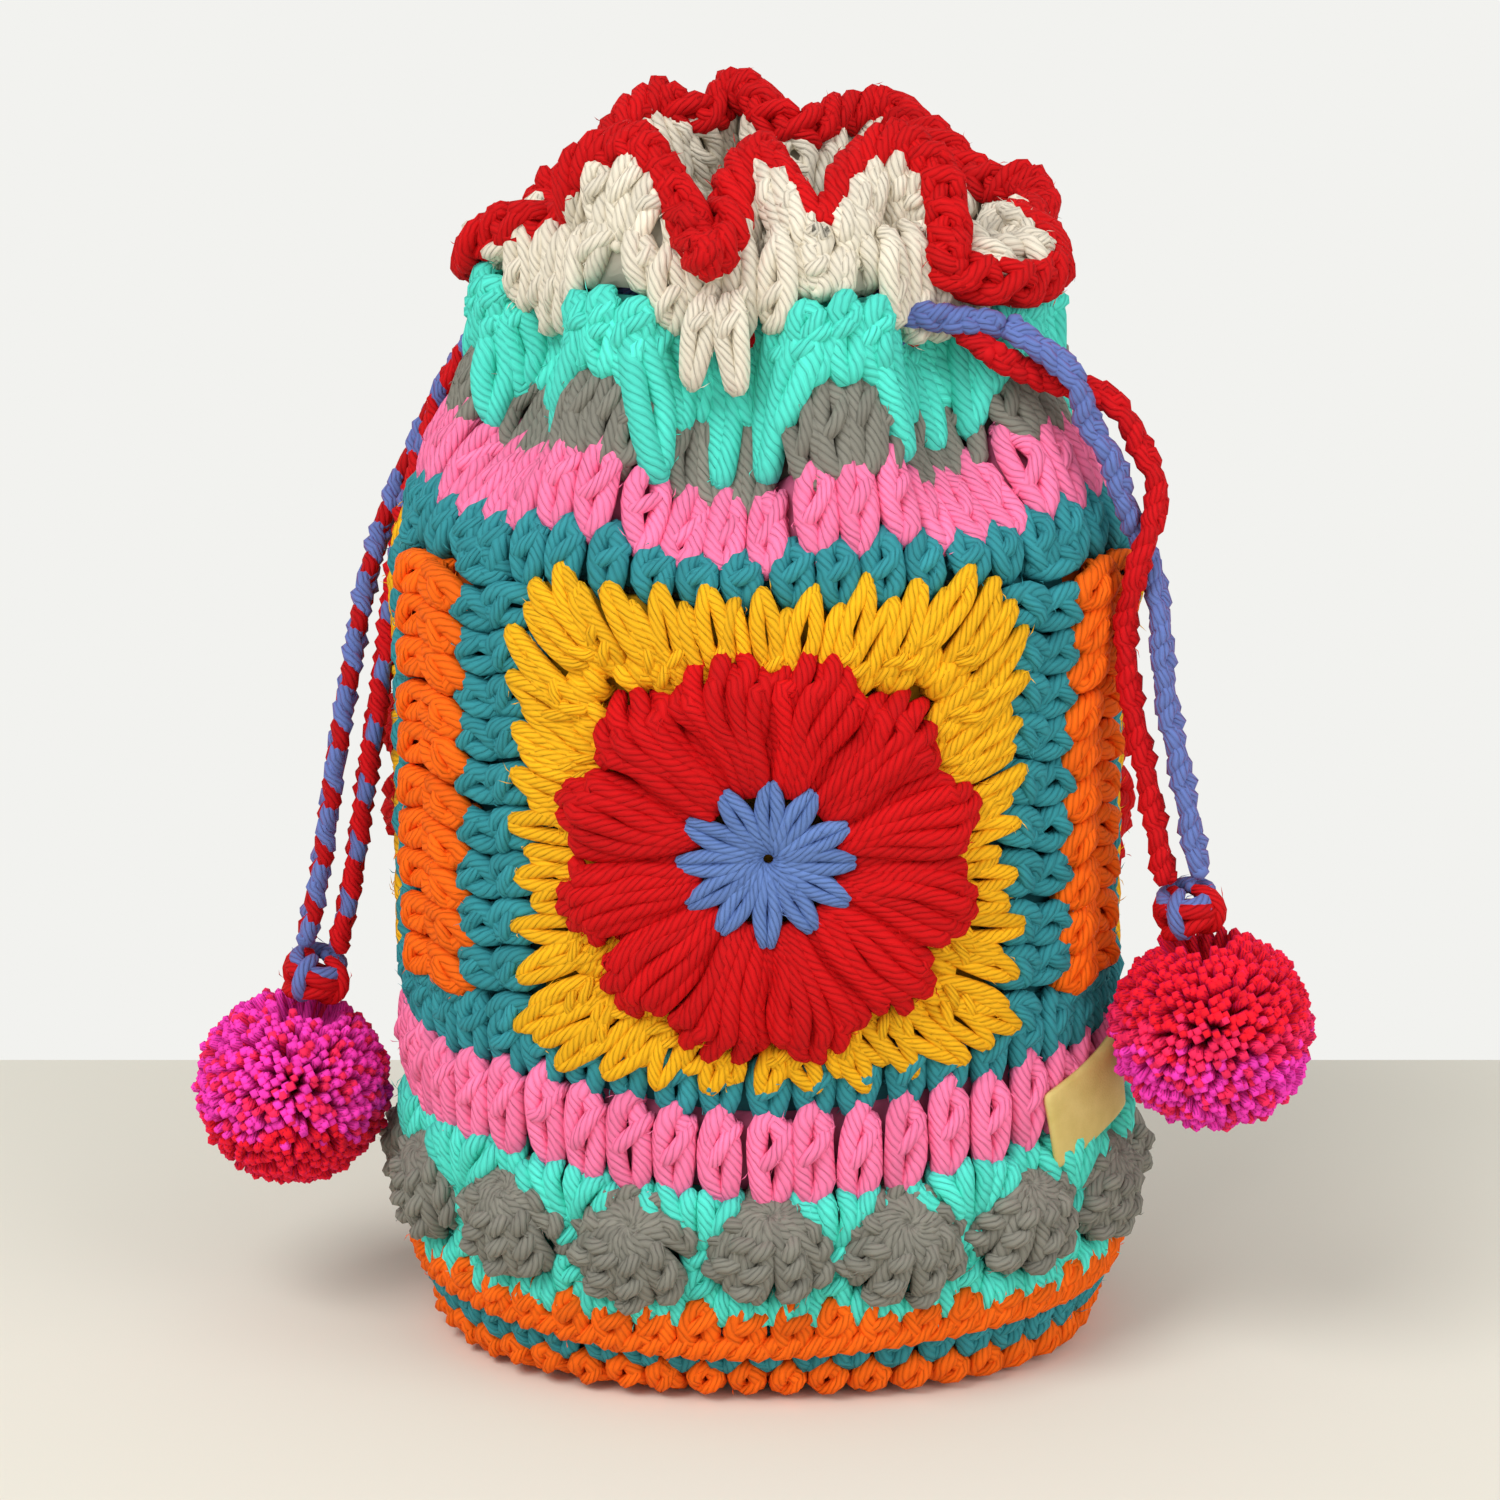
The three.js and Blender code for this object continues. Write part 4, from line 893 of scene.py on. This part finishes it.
# Flower squares
def make_square(side, number):
    middle = number / PANELS * PERIMETER
    half_panel = (PERIMETER / PANELS - SEAM_WIDTH) / 2
    hole_half = half_panel - SIDE_BORDER
    hole_low = PINK_LOWER_TOP + LOWER_BORDER

    def on_flower(radii, turn, lift):
        """Points round the middle of the flower, whose height isn't slumped."""
        height = FLOWER_HEIGHT + radii * np.cos(turn)
        points = on_wall(np.stack([radii * np.sin(turn) + middle, height, lift], -1))
        points[:, 2] = height
        return points

    # Border: a low round, and at each side two columns of stitches that lie on their side
    yarn = Yarn()
    half_share = PERIMETER / PANELS / 2
    strip(yarn, middle + half_share * np.linspace(-1, 1, 13), [
        (PINK_LOWER_TOP, BACKING_REACH), (hole_low + 2, BACKING_REACH), (hole_low + 2, -WALL),
        (PINK_LOWER_TOP, -WALL),
    ])
    for i in range(STITCHES // PANELS):
        at = middle - half_share + (i + 0.5) * PITCH
        put(yarn, PITCH, at, PINK_LOWER_TOP - 1, hole_low + 2.4)
    column = SIDE_BORDER / 2
    for edge in (-1, 1):
        inner = middle + edge * hole_half
        upright_strip(yarn, hole_low, PANEL_TOP, *sorted((inner, middle + edge * half_panel)))
        pitch = (PANEL_TOP - hole_low) / COLUMN_STITCHES
        for col in range(2):
            for i in range(COLUMN_STITCHES):
                start = inner + edge * (col * column - 0.8)
                stop = start + edge * (column + 1.6)
                at = hole_low + 1.5 + (i + 0.5 * col) * pitch + 1.5
                put(yarn, pitch, at, start, stop, lean=2.2 * (1 if col else -1),
                    lie=True)
    # Strip beside the seam below its foot
    for edge in (-1, 1):
        for i in range(2):
            at = middle + edge * (half_panel + 2 + i * 4.6)
            put(yarn, 6, at, PINK_LOWER_TOP + 6, SEAM_LOW + 0.5, thick=0.9)
    yarn.make(f"yarn_{side}_border", TEAL, "teal_yarn", f"{side}_teal_border")

    # Ground: strands from under the petals to pointed tips on the border
    yarn = Yarn()
    top = PANEL_TOP - 1.4
    section = [(h, -2.2) for h in (hole_low, 84, 105, 125, top)] + [(top, -4.4), (hole_low, -4.4)]
    strip(yarn, middle + hole_half * np.linspace(-1, 1, 11), section)
    edge_points = []
    for x in np.arange(-hole_half, hole_half, TIP_SPACING):
        edge_points += [(x, top, 0, 1), (x, hole_low, 0, -1)]
    for y in np.arange(hole_low, top, TIP_SPACING):
        edge_points += [(hole_half, y, 1, 0), (-hole_half, y, -1, 0)]
    for k, (x, y, dx, dy) in enumerate(edge_points):
        poke = (3.4 if (k // 2) % 2 else 0.8) + random.uniform(-0.7, 0.7)
        tip = np.array([x + dx * poke, y + dy * poke])
        toward = np.array([0.0, FLOWER_HEIGHT]) - tip
        length = np.linalg.norm(toward)
        fan = np.array([abs(dy), abs(dx)]) * ((k // 2) % 3 - 1) * TIP_SPACING * 0.45
        start = tip + toward / length * min(length - 26, 17) - fan
        shift = np.array([middle, 0])
        stitch(yarn, drop(), start + shift, tip + shift, 5.0, thick=0.76, out=1.7)
        inner = tip + toward / length * 13
        if length > LONG_WAY:
            start = inner + shift + toward / length * 6
            stitch(yarn, legs(), start, inner + shift, 5.4, thick=0.9, out=1.1)
    yarn.make(f"yarn_{side}_ground", YELLOW, "yellow_yarn", f"{side}_yellow_ground")

    # Petals: long soft strands that lie beside each other and swell to the rounded tip
    yarn = Yarn()
    for k in range(PETALS):
        angle = TAU * (k + 0.5) / PETALS + random.normal(0, 0.012)
        half = math.pi / PETALS
        tip = FLOWER_RADIUS + random.normal(0, 0.6)
        sway = random.uniform(0, TAU)
        for layer, shares in enumerate(((-0.8, -0.42, 0.0, 0.42, 0.8), (-0.56, -0.12, 0.3, 0.66))):
            for s in shares:
                fall = 1 - 0.14 * abs(s) ** 2.2 - 0.07 * layer
                radii = np.array([EYE_RADIUS - 1, 16, 20.5, 25, 29.5, 33.5 * fall, (tip - 0.8) * fall])
                lift = np.array([0.6, 2.3, 3.6, 4.5, 4.7, 3.4, -0.4]) * (1 - 0.25 * s * s) + 1.2 * layer
                turn = angle + s * half * np.array([0.7, 0.82, 0.9, 0.95, 0.97, 0.92, 0.7])
                wave = 0.03 * np.sin(sway + 2.2 * s + np.arange(7) * 1.3) + random.normal(0, 0.012, 7)
                lift = lift + random.normal(0, 0.3, 7)
                yarn.strand(on_flower(radii, turn + wave, lift), 1.8 - 0.1 * layer, ends=0.7)
        radii = np.array([EYE_RADIUS - 1, 17, 23, 29])
        yarn.strand(on_flower(radii, angle + half, (0.8, 1.8, 2.0, 0.4)), 1.9)
    yarn.make(f"yarn_{side}_petals", RED, "red_yarn", f"{side}_flower_petals")

    # Eye: a star of paired strands
    yarn = Yarn(step=1.6)
    for k in range(PETALS):
        angle = TAU * k / PETALS + random.normal(0, 0.03)
        tip = EYE_RADIUS + 1.4 + random.uniform(-0.6, 0.6)
        for s in (-1, 1):
            radii = np.array([1.2, 4.5, 8.5, tip])
            turn = angle + s * np.array([0.2, 0.13, 0.15, 0.04])
            yarn.strand(on_flower(radii, turn, (0.4, 2.0, 2.8, 3.4)), 1.3)
    yarn.make(f"yarn_{side}_eye", BLUE, "blue_yarn", f"{side}_flower_eye")


def make_seam(name, number):
    middle = (number + 0.5) / PANELS * PERIMETER
    yarn = Yarn()
    half = SEAM_WIDTH / 2
    upright_strip(yarn, SEAM_LOW, PANEL_TOP, middle - half, middle + half)
    pitch = (PANEL_TOP - SEAM_LOW) / COLUMN_STITCHES
    for edge in (-1, 1):
        for i in range(COLUMN_STITCHES):
            at = SEAM_LOW + (i + 0.5) * pitch
            put(yarn, pitch, at, middle - edge * 1.0, middle + edge * (half + 1.8),
                lean=-3.0, lie=True, thick=1.05, out=1.2)
    yarn.make(f"yarn_{name}_seam", ORANGE, "orange_yarn", f"{name}_orange_seam")


# Rounds between the squares and the neck
def make_shoulder():
    leaf_round(PANEL_TOP, TEAL_UPPER_TOP, extra=(1.5, 1)).make(
        "yarn_teal_upper", TEAL, "teal_yarn", "teal_round_upper")
    leaf_round(TEAL_UPPER_TOP, PINK_UPPER_TOP, offset=0.0, extra=(1.2, 0.8), out=0.8, thick=1.05).make(
        "yarn_pink_upper", PINK, "pink_yarn", "pink_round_upper")

    # Grey: fans of trebles that spread upwards
    yarn = Yarn()
    backing(yarn, PINK_UPPER_TOP, GREY_TOP + 2, reach=-4.0)
    fans = 2 * PLEATS
    for i in range(fans):
        at = (i / fans + FIRST_CREST) * PERIMETER
        for s in (-1, -0.35, 0.35, 1):
            start, stop = (at + 6 * s, 163.8), (at + 10.5 * s, 178 - 2 * abs(s))
            stitch(yarn, leaf(), start, stop, 7.6, out=1.3)
    yarn.make("yarn_grey", GREY, "grey_yarn", "grey_round")

    # Turquoise: lobes on each crest, short drops over the grey fans and long ones between them
    yarn = Yarn()
    backing(yarn, GREY_TOP, NECK_LOW + 1, reach=-4.0)
    # Cloth over the drawstrings, dark with painted shade, open at the slit in front
    slit = ((176, -2.2), (188, -2.2), (188, -3), (176, -3))
    strip(yarn, np.linspace(0.008, 0.985, 90) * PERIMETER, slit, place=on_neck)
    spacing = PERIMETER / fans
    for i in range(fans):
        at = FIRST_CREST * PERIMETER + i * spacing
        for s in (-1, 0, 1):
            low = 175 + 1.5 * (1 - abs(s)) + random.uniform(-1, 1)
            stitch(yarn, drop(1.15), (at + 4.6 * s, 186), (at + 7.6 * s, low), 7.6, out=3.0)
        if i % 2:
            for s in (-1.1, 0, 1.1):
                low = 168.5 + 2 * abs(s) + random.uniform(-1.5, 1.5)
                start, stop = (at + 3.4 * s, 180.5), (at + 6.5 * s, low)
                stitch(yarn, drop(1.15), start, stop, 6.6, out=2.8)
        toward = 1 if i % 2 else -1
        leg = at + spacing / 2
        for s, reach in ((-1, 0), (1, 3.5)):
            low = 167.5 + reach + random.uniform(-1, 1)
            start, stop = (leg + toward * 4 + 2.2 * s, 184), (leg - toward * 1.5 + 1.2 * s, low)
            stitch(yarn, drop(1.25), start, stop, 5.4, out=3.8, rise=-0.6)
        if i % 2 == 0:
            for s in (-1, 0, 1):
                start, stop = (at + 5.6 * s, 179.5), (at + 8 * s, 189 - 1.8 * abs(s))
                stitch(yarn, leaf(1.05), start, stop, 7.6, out=2.4, rise=0.6, place=on_neck)
    yarn.make("yarn_turquoise_upper", TURQUOISE, "turquoise_yarn", "turquoise_round_upper")


# Collar and its edging
def rim_length():
    return step_lengths(catmull(RIM_POINTS, np.linspace(0, 1, 2001), closed=True)).sum()


def make_collar():
    yarn = Yarn(step=2.3)
    stations = 164
    shares = np.arange(stations) / stations
    section = [(r, -0.9) for r in (0, 0.25, 0.5, 0.75, 1)]
    section += [(r, 0.9 - COLLAR_THICKNESS) for r in (1, 0.75, 0.5, 0.25, 0)]
    grid = np.array([[(s, r, n) for r, n in section] for s in shares])
    yarn.sheet(on_collar(grid))
    length = rim_length()
    for face, out in ((1, 0.2), (-1, -COLLAR_THICKNESS - 0.2)):
        for low, high, width, group in ((-0.06, 0.5, 9.4, 3), (0.38, 1.0, 7.4, 3)):
            count = int(length / width)
            for k in range(count):
                hub = (k // group * group + (group - 1) / 2 + 0.5) / count
                sway = random.normal(0, 0.02)
                for points, radius in leaf(1.0):
                    points = np.array(points) + random.normal(0, 0.04, (len(points), 3)) * (1, 0.8, 8)
                    share = (k + 0.5 + points[:, 0]) / count
                    share = share + (hub - share) * 0.4 * np.clip(1 - points[:, 1], 0, 1)
                    rise = low + (points[:, 1] + sway) * (high - low)
                    reach = out + face * (points[:, 2] - 0.9)
                    yarn.strand(on_collar(np.column_stack([share, rise, reach])), radius)
    # Stitches down into each valley, over the drawstrings
    for i in range(PLEATS):
        at = (FIRST_CREST + (i + 0.5) / PLEATS) * PERIMETER
        for s in (-1.5, -0.5, 0.5, 1.5):
            low = 179.5 + 2.6 * abs(s)
            start, stop = (at + 8.2 * s, 197), (at + 7.4 * s, low)
            stitch(yarn, leaf(), start, stop, 8.4, out=1.6, place=on_neck)
    spike = (FIRST_CREST - 0.5 / PLEATS) * PERIMETER
    for above, below, low in ((-2.6, -5.6, 174), (2.2, 3.2, 173.5)):
        start, stop = (spike + above, 188), (spike + below, low)
        stitch(yarn, drop(0.85), start, stop, 6, out=6.5, place=on_neck)
    yarn.make("yarn_collar", CREAM, "cream_yarn", "cream_collar")

    # Edging: slanted loops over a core, and a shorter strand that makes a V with each
    yarn = Yarn(step=1.8)
    loops = int(length / EDGING_PITCH)
    middle = -COLLAR_THICKNESS / 2
    core = [(s, EDGING_CORE, middle) for s in np.linspace(0, 1, 260)]
    yarn.strand(on_collar(core), 1.7, ends=1.0, tone=-0.3)
    slant = np.array([-0.62, -0.3, 0.16, 0.5, 0.74, 0.86])
    for k in range(loops):
        wide = 1.9 + random.normal(0, 0.2)
        for face in (1, -1):
            rise = np.array([0.96, 1.1, 1.33, 1.44, 1.42, 1.25]) + random.normal(0, 0.03, 6)
            reach = middle + face * np.array([wide, wide + 0.8, wide * 0.8, 0.1, -0.3, -0.4])
            share = (k + 0.5 + face * slant + random.normal(0, 0.05)) / loops
            yarn.strand(on_collar(np.column_stack([share, rise, reach])), 1.7, ends=0.7)
            share = (k + 0.5 - face * np.array([-0.5, -0.12, 0.3, 0.5])) / loops
            reach = middle + face * np.array([wide - 0.4, wide + 0.7, wide + 0.5, wide - 0.6])
            rise = (0.92, 1.04, 1.18, 1.3)
            yarn.strand(on_collar(np.column_stack([share, rise, reach])), 1.45, ends=0.7)
    yarn.make("yarn_edging", RED, "red_yarn", "red_edging")


# Drawstrings, knots and pompoms
PLAIT_RADIUS = 1.5
PLAIT_WIDE = 1.25
PLAIT_DEEP = 0.9
PLAIT_WAVE = 10.5


def plait(yarn, points, hues):
    """Three strands plaited round a line, as a chain of stitches looks from any side."""
    points = np.asarray(points, float)
    rough = catmull(points, np.linspace(0, 1, 400))
    steps = step_lengths(rough)
    length = steps.sum()
    count = int(length / 1.3)
    at = np.interp(np.linspace(0, length, count), np.concatenate([[0], np.cumsum(steps)]),
                   np.linspace(0, 1, 400))
    line = catmull(points, at)
    along = unit(np.gradient(line, axis=0))
    out = unit(line * (1, 1, 0))
    across = unit(np.cross(along, out))
    out = np.cross(across, along)
    phase = np.linspace(0, length, count) / PLAIT_WAVE * TAU
    for k, hue in enumerate(hues):
        own = phase + k * TAU / 3
        points = (line + across * (PLAIT_WIDE * np.sin(own))[:, None]
                  + out * (PLAIT_DEEP * np.sin(2 * own))[:, None])
        yarn.strand(points[::2], PLAIT_RADIUS, hue=hue, ends=1.0)


def make_drawstring(side, twin_hues, *crossings):
    tail, exit_angle, height = CORDS[side]
    tail = np.array(tail) / MM
    sign = -1 if side == "left" else 1
    before = tail[np.maximum(np.arange(len(tail)) - 1, 0)]
    after = tail[np.minimum(np.arange(len(tail)) + 1, len(tail) - 1)]
    turned = np.minimum(1, np.arange(len(tail)) / TURNED_POINTS)[:, None]
    out = unit(tail * (1, 1, 0)) * (1 - turned) + np.array([0, -1, 0]) * turned
    across = unit(np.cross(unit(after - before), out))
    spread = CORD_DIAMETER / 2 + CLEARANCE
    # Where the two halves cross over, they turn about each other by half a turn
    twist = -math.pi * sum(1 - smooth(tail[:, 2:3], low, high) for low, high in crossings)
    shift = sign * spread * about(across, out, twist)
    strands = {"outer": tail + shift, "inner": tail - shift}

    # Neck part: between the free ends, round the neck under the collar
    angles = np.linspace(exit_angle + LOOP_OPENING, exit_angle + 360 - LOOP_OPENING, 25)
    loop = polar(np.radians(angles), CORD_LOOP_RADIUS, height)
    leave = [polar(math.radians(exit_angle + away), CORD_LOOP_RADIUS + LEAVE_REACH, height - LEAVE_DROP)
             for away in (LEAVE_TURN, -LEAVE_TURN)]
    neck = [strands["outer"][0], leave[0], *loop, leave[1], strands["inner"][0]]
    yarn = Yarn(sides=6, step=1.7, hairs=0)
    half = len(neck) // 2
    plait(yarn, neck[:half + 1], twin_hues["outer"])
    plait(yarn, neck[half:], twin_hues["inner"])
    node = f"{side}_drawstring"
    yarn.make(f"{side}_neck_cord", CORD_YARN, "drawstring_yarn", node)

    knot, pompom = make_knot(side, tail)
    for name, points in strands.items():
        yarn = Yarn(sides=6, step=1.7, hairs=0)
        plait(yarn, points, twin_hues[name])
        cord = yarn.make(f"{side}_{name}_cord", CORD_YARN, "drawstring_yarn", node)
        path = catmull(points, np.linspace(0, 1, 60)) * MM


def make_knot(side, tail):
    """The knot, and the pompom that hangs from it, in line with the end of the drawstring."""
    end = tail[-1]
    down = unit(tail[-1] - tail[-2])
    top = end + down * SEAT_GAP
    one = unit(np.cross(down, (0.0, 1.0, 0.2)))
    two = np.cross(down, one)
    yarn = Yarn(step=1.4)
    for k, (depth, radius, hue) in enumerate(((1.6, 3.9, 1), (3.9, 4.5, 0), (6.2, 4.1, 0))):
        turn = np.linspace(0, TAU * 1.04, 14)
        sway = 1.1 * np.sin(turn + 2.2 * k)
        points = (top + down * (depth + sway)[:, None] + one * (radius * np.cos(turn))[:, None]
                  + two * (radius * np.sin(turn))[:, None])
        yarn.strand(points, 1.5, hue=hue, ends=0.9)
    over = ((0.4, 1.6), (1.8, 4.6), (4.4, 5.6), (6.9, 4.2), (7.4, 1.5))
    for k in range(4):
        turn = k * TAU / 4 + 0.5
        out = one * math.cos(turn) + two * math.sin(turn)
        yarn.strand([top + down * d + out * r for d, r in over], 1.35, hue=k % 2, ends=0.7)
    knot = yarn.make(f"{side}_tied_knot", CORD_YARN, "drawstring_yarn", f"{side}_knot")

    centre = top + down * (KNOT_HEIGHT + CLEARANCE + POMPOM_RADIUS)
    yarn = Yarn(sides=4, step=1.6, hairs=0)
    index = np.arange(TUFTS) + 0.5
    rise = 1 - 2 * index / TUFTS
    spin = index * GOLDEN_TURN
    flat = np.sqrt(1 - rise**2)
    directions = np.stack([flat * np.cos(spin), flat * np.sin(spin), rise], -1)
    directions = unit(directions + random.normal(0, 0.04, directions.shape))
    for direction in directions:
        if direction @ -down > 0.93:
            continue
        tilt = random.normal(0, 0.16, 3)
        long = POMPOM_RADIUS + random.normal(-0.1, 0.4)
        height = direction[2] + random.normal(0, 0.1)
        if side == "left":
            hue = 2 if height < -0.28 else (1 if random.random() < 0.3 else 0)
        else:
            hue = 2 if height > 0.25 else (1 if height > -0.1 or random.random() < 0.25 else 0)
        line = [centre + direction * r + tilt * (r - 8) * 0.16 for r in (8.5, 12, 15, long)]
        yarn.strand(line, random.uniform(0.85, 1.15), hue=hue, ends=0.85, tone=random.normal(0, 0.8))
    pompom = yarn.make(f"{side}_yarn_pompom", POMPOM_YARN, "pompom_yarn", f"{side}_pompom")
    return knot, pompom


# Lining and tag
def plain_piece(name, verts, faces, material, slot, *nodes):
    mesh = bpy.data.meshes.new(name)
    mesh.from_pydata((np.asarray(verts) * MM).tolist(), [], faces)
    mesh.polygons.foreach_set("use_smooth", np.ones(len(mesh.polygons), bool))
    return dress(mesh, material, slot, *nodes)


def make_lining():
    stations = 102
    heights = np.array([7.6, 14, 30, 60, 90, 120, 140, 150, LINING_TOP])
    along = np.arange(stations) / stations * PERIMETER
    verts = [(0, 0, 7.4), (0, 0, 8.3)]
    section = [(h, LINING_INSET + (5 if k == 0 else 0)) for k, h in enumerate(heights)]
    section += [(h + (0.8 if k == len(heights) - 1 else 0), deep + 0.9)
                for k, (h, deep) in enumerate(section[::-1])]
    for a in along:
        crease = 0.5 * math.sin(a / 9.0) + 0.35 * math.sin(a / 4.1)
        verts += [on_wall((a, h, -deep - 0.45 - crease * smooth(h, 20, 120))) for h, deep in section]
    count = len(section)
    faces = []
    for i in range(stations):
        a, b = 2 + i * count, 2 + (i + 1) % stations * count
        faces += [(0, b, a), (1, a + count - 1, b + count - 1)]
        faces += [(a + j, b + j, b + j + 1, a + j + 1) for j in range(count - 1)]
    lining = plain_piece("woven_lining", verts, faces, cloth_material(), "lining_cloth", "lining")


def make_tag():
    """Plain leather tag, curved with the wall, its corners rounded and its edges worn soft."""
    middle = TAG_TURN * PERIMETER
    tilt = math.radians(TAG_TILT)
    columns, rows = 25, 17
    verts = []
    for depth in (1, 0):
        for i in range(columns):
            for j in range(rows):
                x, y = 2 * i / (columns - 1) - 1, 2 * j / (rows - 1) - 1
                corner = max(abs(x) * TAG_WIDTH / 2 - (TAG_WIDTH / 2 - 1.4), 0)
                corner = math.hypot(corner, max(abs(y) * TAG_HEIGHT / 2 - (TAG_HEIGHT / 2 - 1.4), 0))
                pull = 1 - 0.05 * max(corner - 1.4, 0)
                px, py = x * TAG_WIDTH / 2 * pull, y * TAG_HEIGHT / 2 * pull
                edge = max(abs(x), abs(y)) ** 12
                lift = 2.6 + TAG_THICKNESS * depth * (1 - 0.55 * edge)
                lift += 0.5 * math.sin(px * 0.22) * (1 - edge)
                verts.append(on_wall((middle + px * math.cos(tilt) - py * math.sin(tilt),
                                      TAG_CENTRE + px * math.sin(tilt) + py * math.cos(tilt), lift)))

    def corner_at(i, j, side):
        return (side * columns + i) * rows + j

    faces = []
    for i in range(columns - 1):
        for j in range(rows - 1):
            cell = ((i, j), (i + 1, j), (i + 1, j + 1), (i, j + 1))
            faces.append([corner_at(*at, 0) for at in cell])
            faces.append([corner_at(*at, 1) for at in cell[:1] + cell[:0:-1]])
    edge = [(i, 0) for i in range(columns - 1)]
    edge += [(columns - 1, j) for j in range(rows - 1)]
    edge += [(i, rows - 1) for i in range(columns - 1, 0, -1)]
    edge += [(0, j) for j in range(rows - 1, 0, -1)]
    for here, after in zip(edge, edge[1:] + edge[:1]):
        wall = ((here, 0), (here, 1), (after, 1), (after, 0))
        faces.append([corner_at(*at, side) for at, side in wall])
    plain_piece("plain_tag", verts, faces, leather_material(), "tan_leather", "leather_tag")


# Studio: a pale floor that ends behind the pouch, a pale background and soft lamps
FLOOR_END = 0.132
SURROUNDING_LIGHT = 0.55


def make_studio():
    mesh = bpy.data.meshes.new("floor")
    corners = [(-3, -2.5, 0), (3, -2.5, 0), (3, FLOOR_END, 0), (-3, FLOOR_END, 0)]
    mesh.from_pydata(corners, [], [(0, 1, 2, 3)])
    matt = Nodes("pale_floor", roughness=0.9)
    matt.shader.inputs["Base Color"].default_value = linear((231, 228, 215))
    mesh.materials.append(matt.material)
    floor = add("floor", mesh)

    # The background seen directly, in gloss or through glass is pale, and the light from it is weaker
    world = bpy.data.worlds.new("studio")
    world.use_nodes = True
    tree = world.node_tree
    path = tree.nodes.new("ShaderNodeLightPath")
    seen = path.outputs["Is Camera Ray"]
    for ray in ("Is Glossy Ray", "Is Transmission Ray"):
        either = tree.nodes.new("ShaderNodeMath")
        either.operation = "MAXIMUM"
        tree.links.new(seen, either.inputs[0])
        tree.links.new(path.outputs[ray], either.inputs[1])
        seen = either.outputs[0]
    colour = tree.nodes.new("ShaderNodeMix")
    colour.data_type = "RGBA"
    tree.links.new(seen, colour.inputs["Factor"])
    colour.inputs[6].default_value = (SURROUNDING_LIGHT,) * 3 + (1,)
    colour.inputs[7].default_value = linear((242, 242, 239))
    tree.links.new(colour.outputs[2], tree.nodes["Background"].inputs["Color"])
    bpy.context.scene.world = world
    for name, place, size, power in (("key", (-0.7, -0.9, 1.3), 0.9, 16),
                                     ("fill", (0.9, -0.8, 0.7), 1.0, 6)):
        data = bpy.data.lights.new(name, "AREA")
        data.size = size
        data.energy = power
        lamp = add(name, data)
        lamp.location = place
        direction = Vector((0, 0, 0.11)) - Vector(place)
        lamp.rotation_euler = direction.to_track_quat("-Z", "Y").to_euler()
    bpy.context.scene.view_settings.view_transform = "Standard"


make_camera()
make_drawstring("left", {"outer": (0, 0, 1), "inner": (0, 1, 1)})
make_drawstring("right", {"outer": (0, 0, 0), "inner": (1, 1, 1)}, (168, 180), (134, 158))
make_base()
make_ridge()
make_bobbles()
make_turquoise_lower()
leaf_round(BOBBLE_ROUND_TOP, PINK_LOWER_TOP, offset=0.0, extra=(2.6, 0.6), out=0.8, thick=1.05).make(
    "yarn_pink_lower", PINK, "pink_yarn", "pink_round_lower")
for index, name in enumerate(("front", "right", "left")):
    make_square(name, index)
for index, name in enumerate(("right", "back", "left")):
    make_seam(name, index)
make_shoulder()
make_collar()
make_lining()
make_tag()
make_studio()
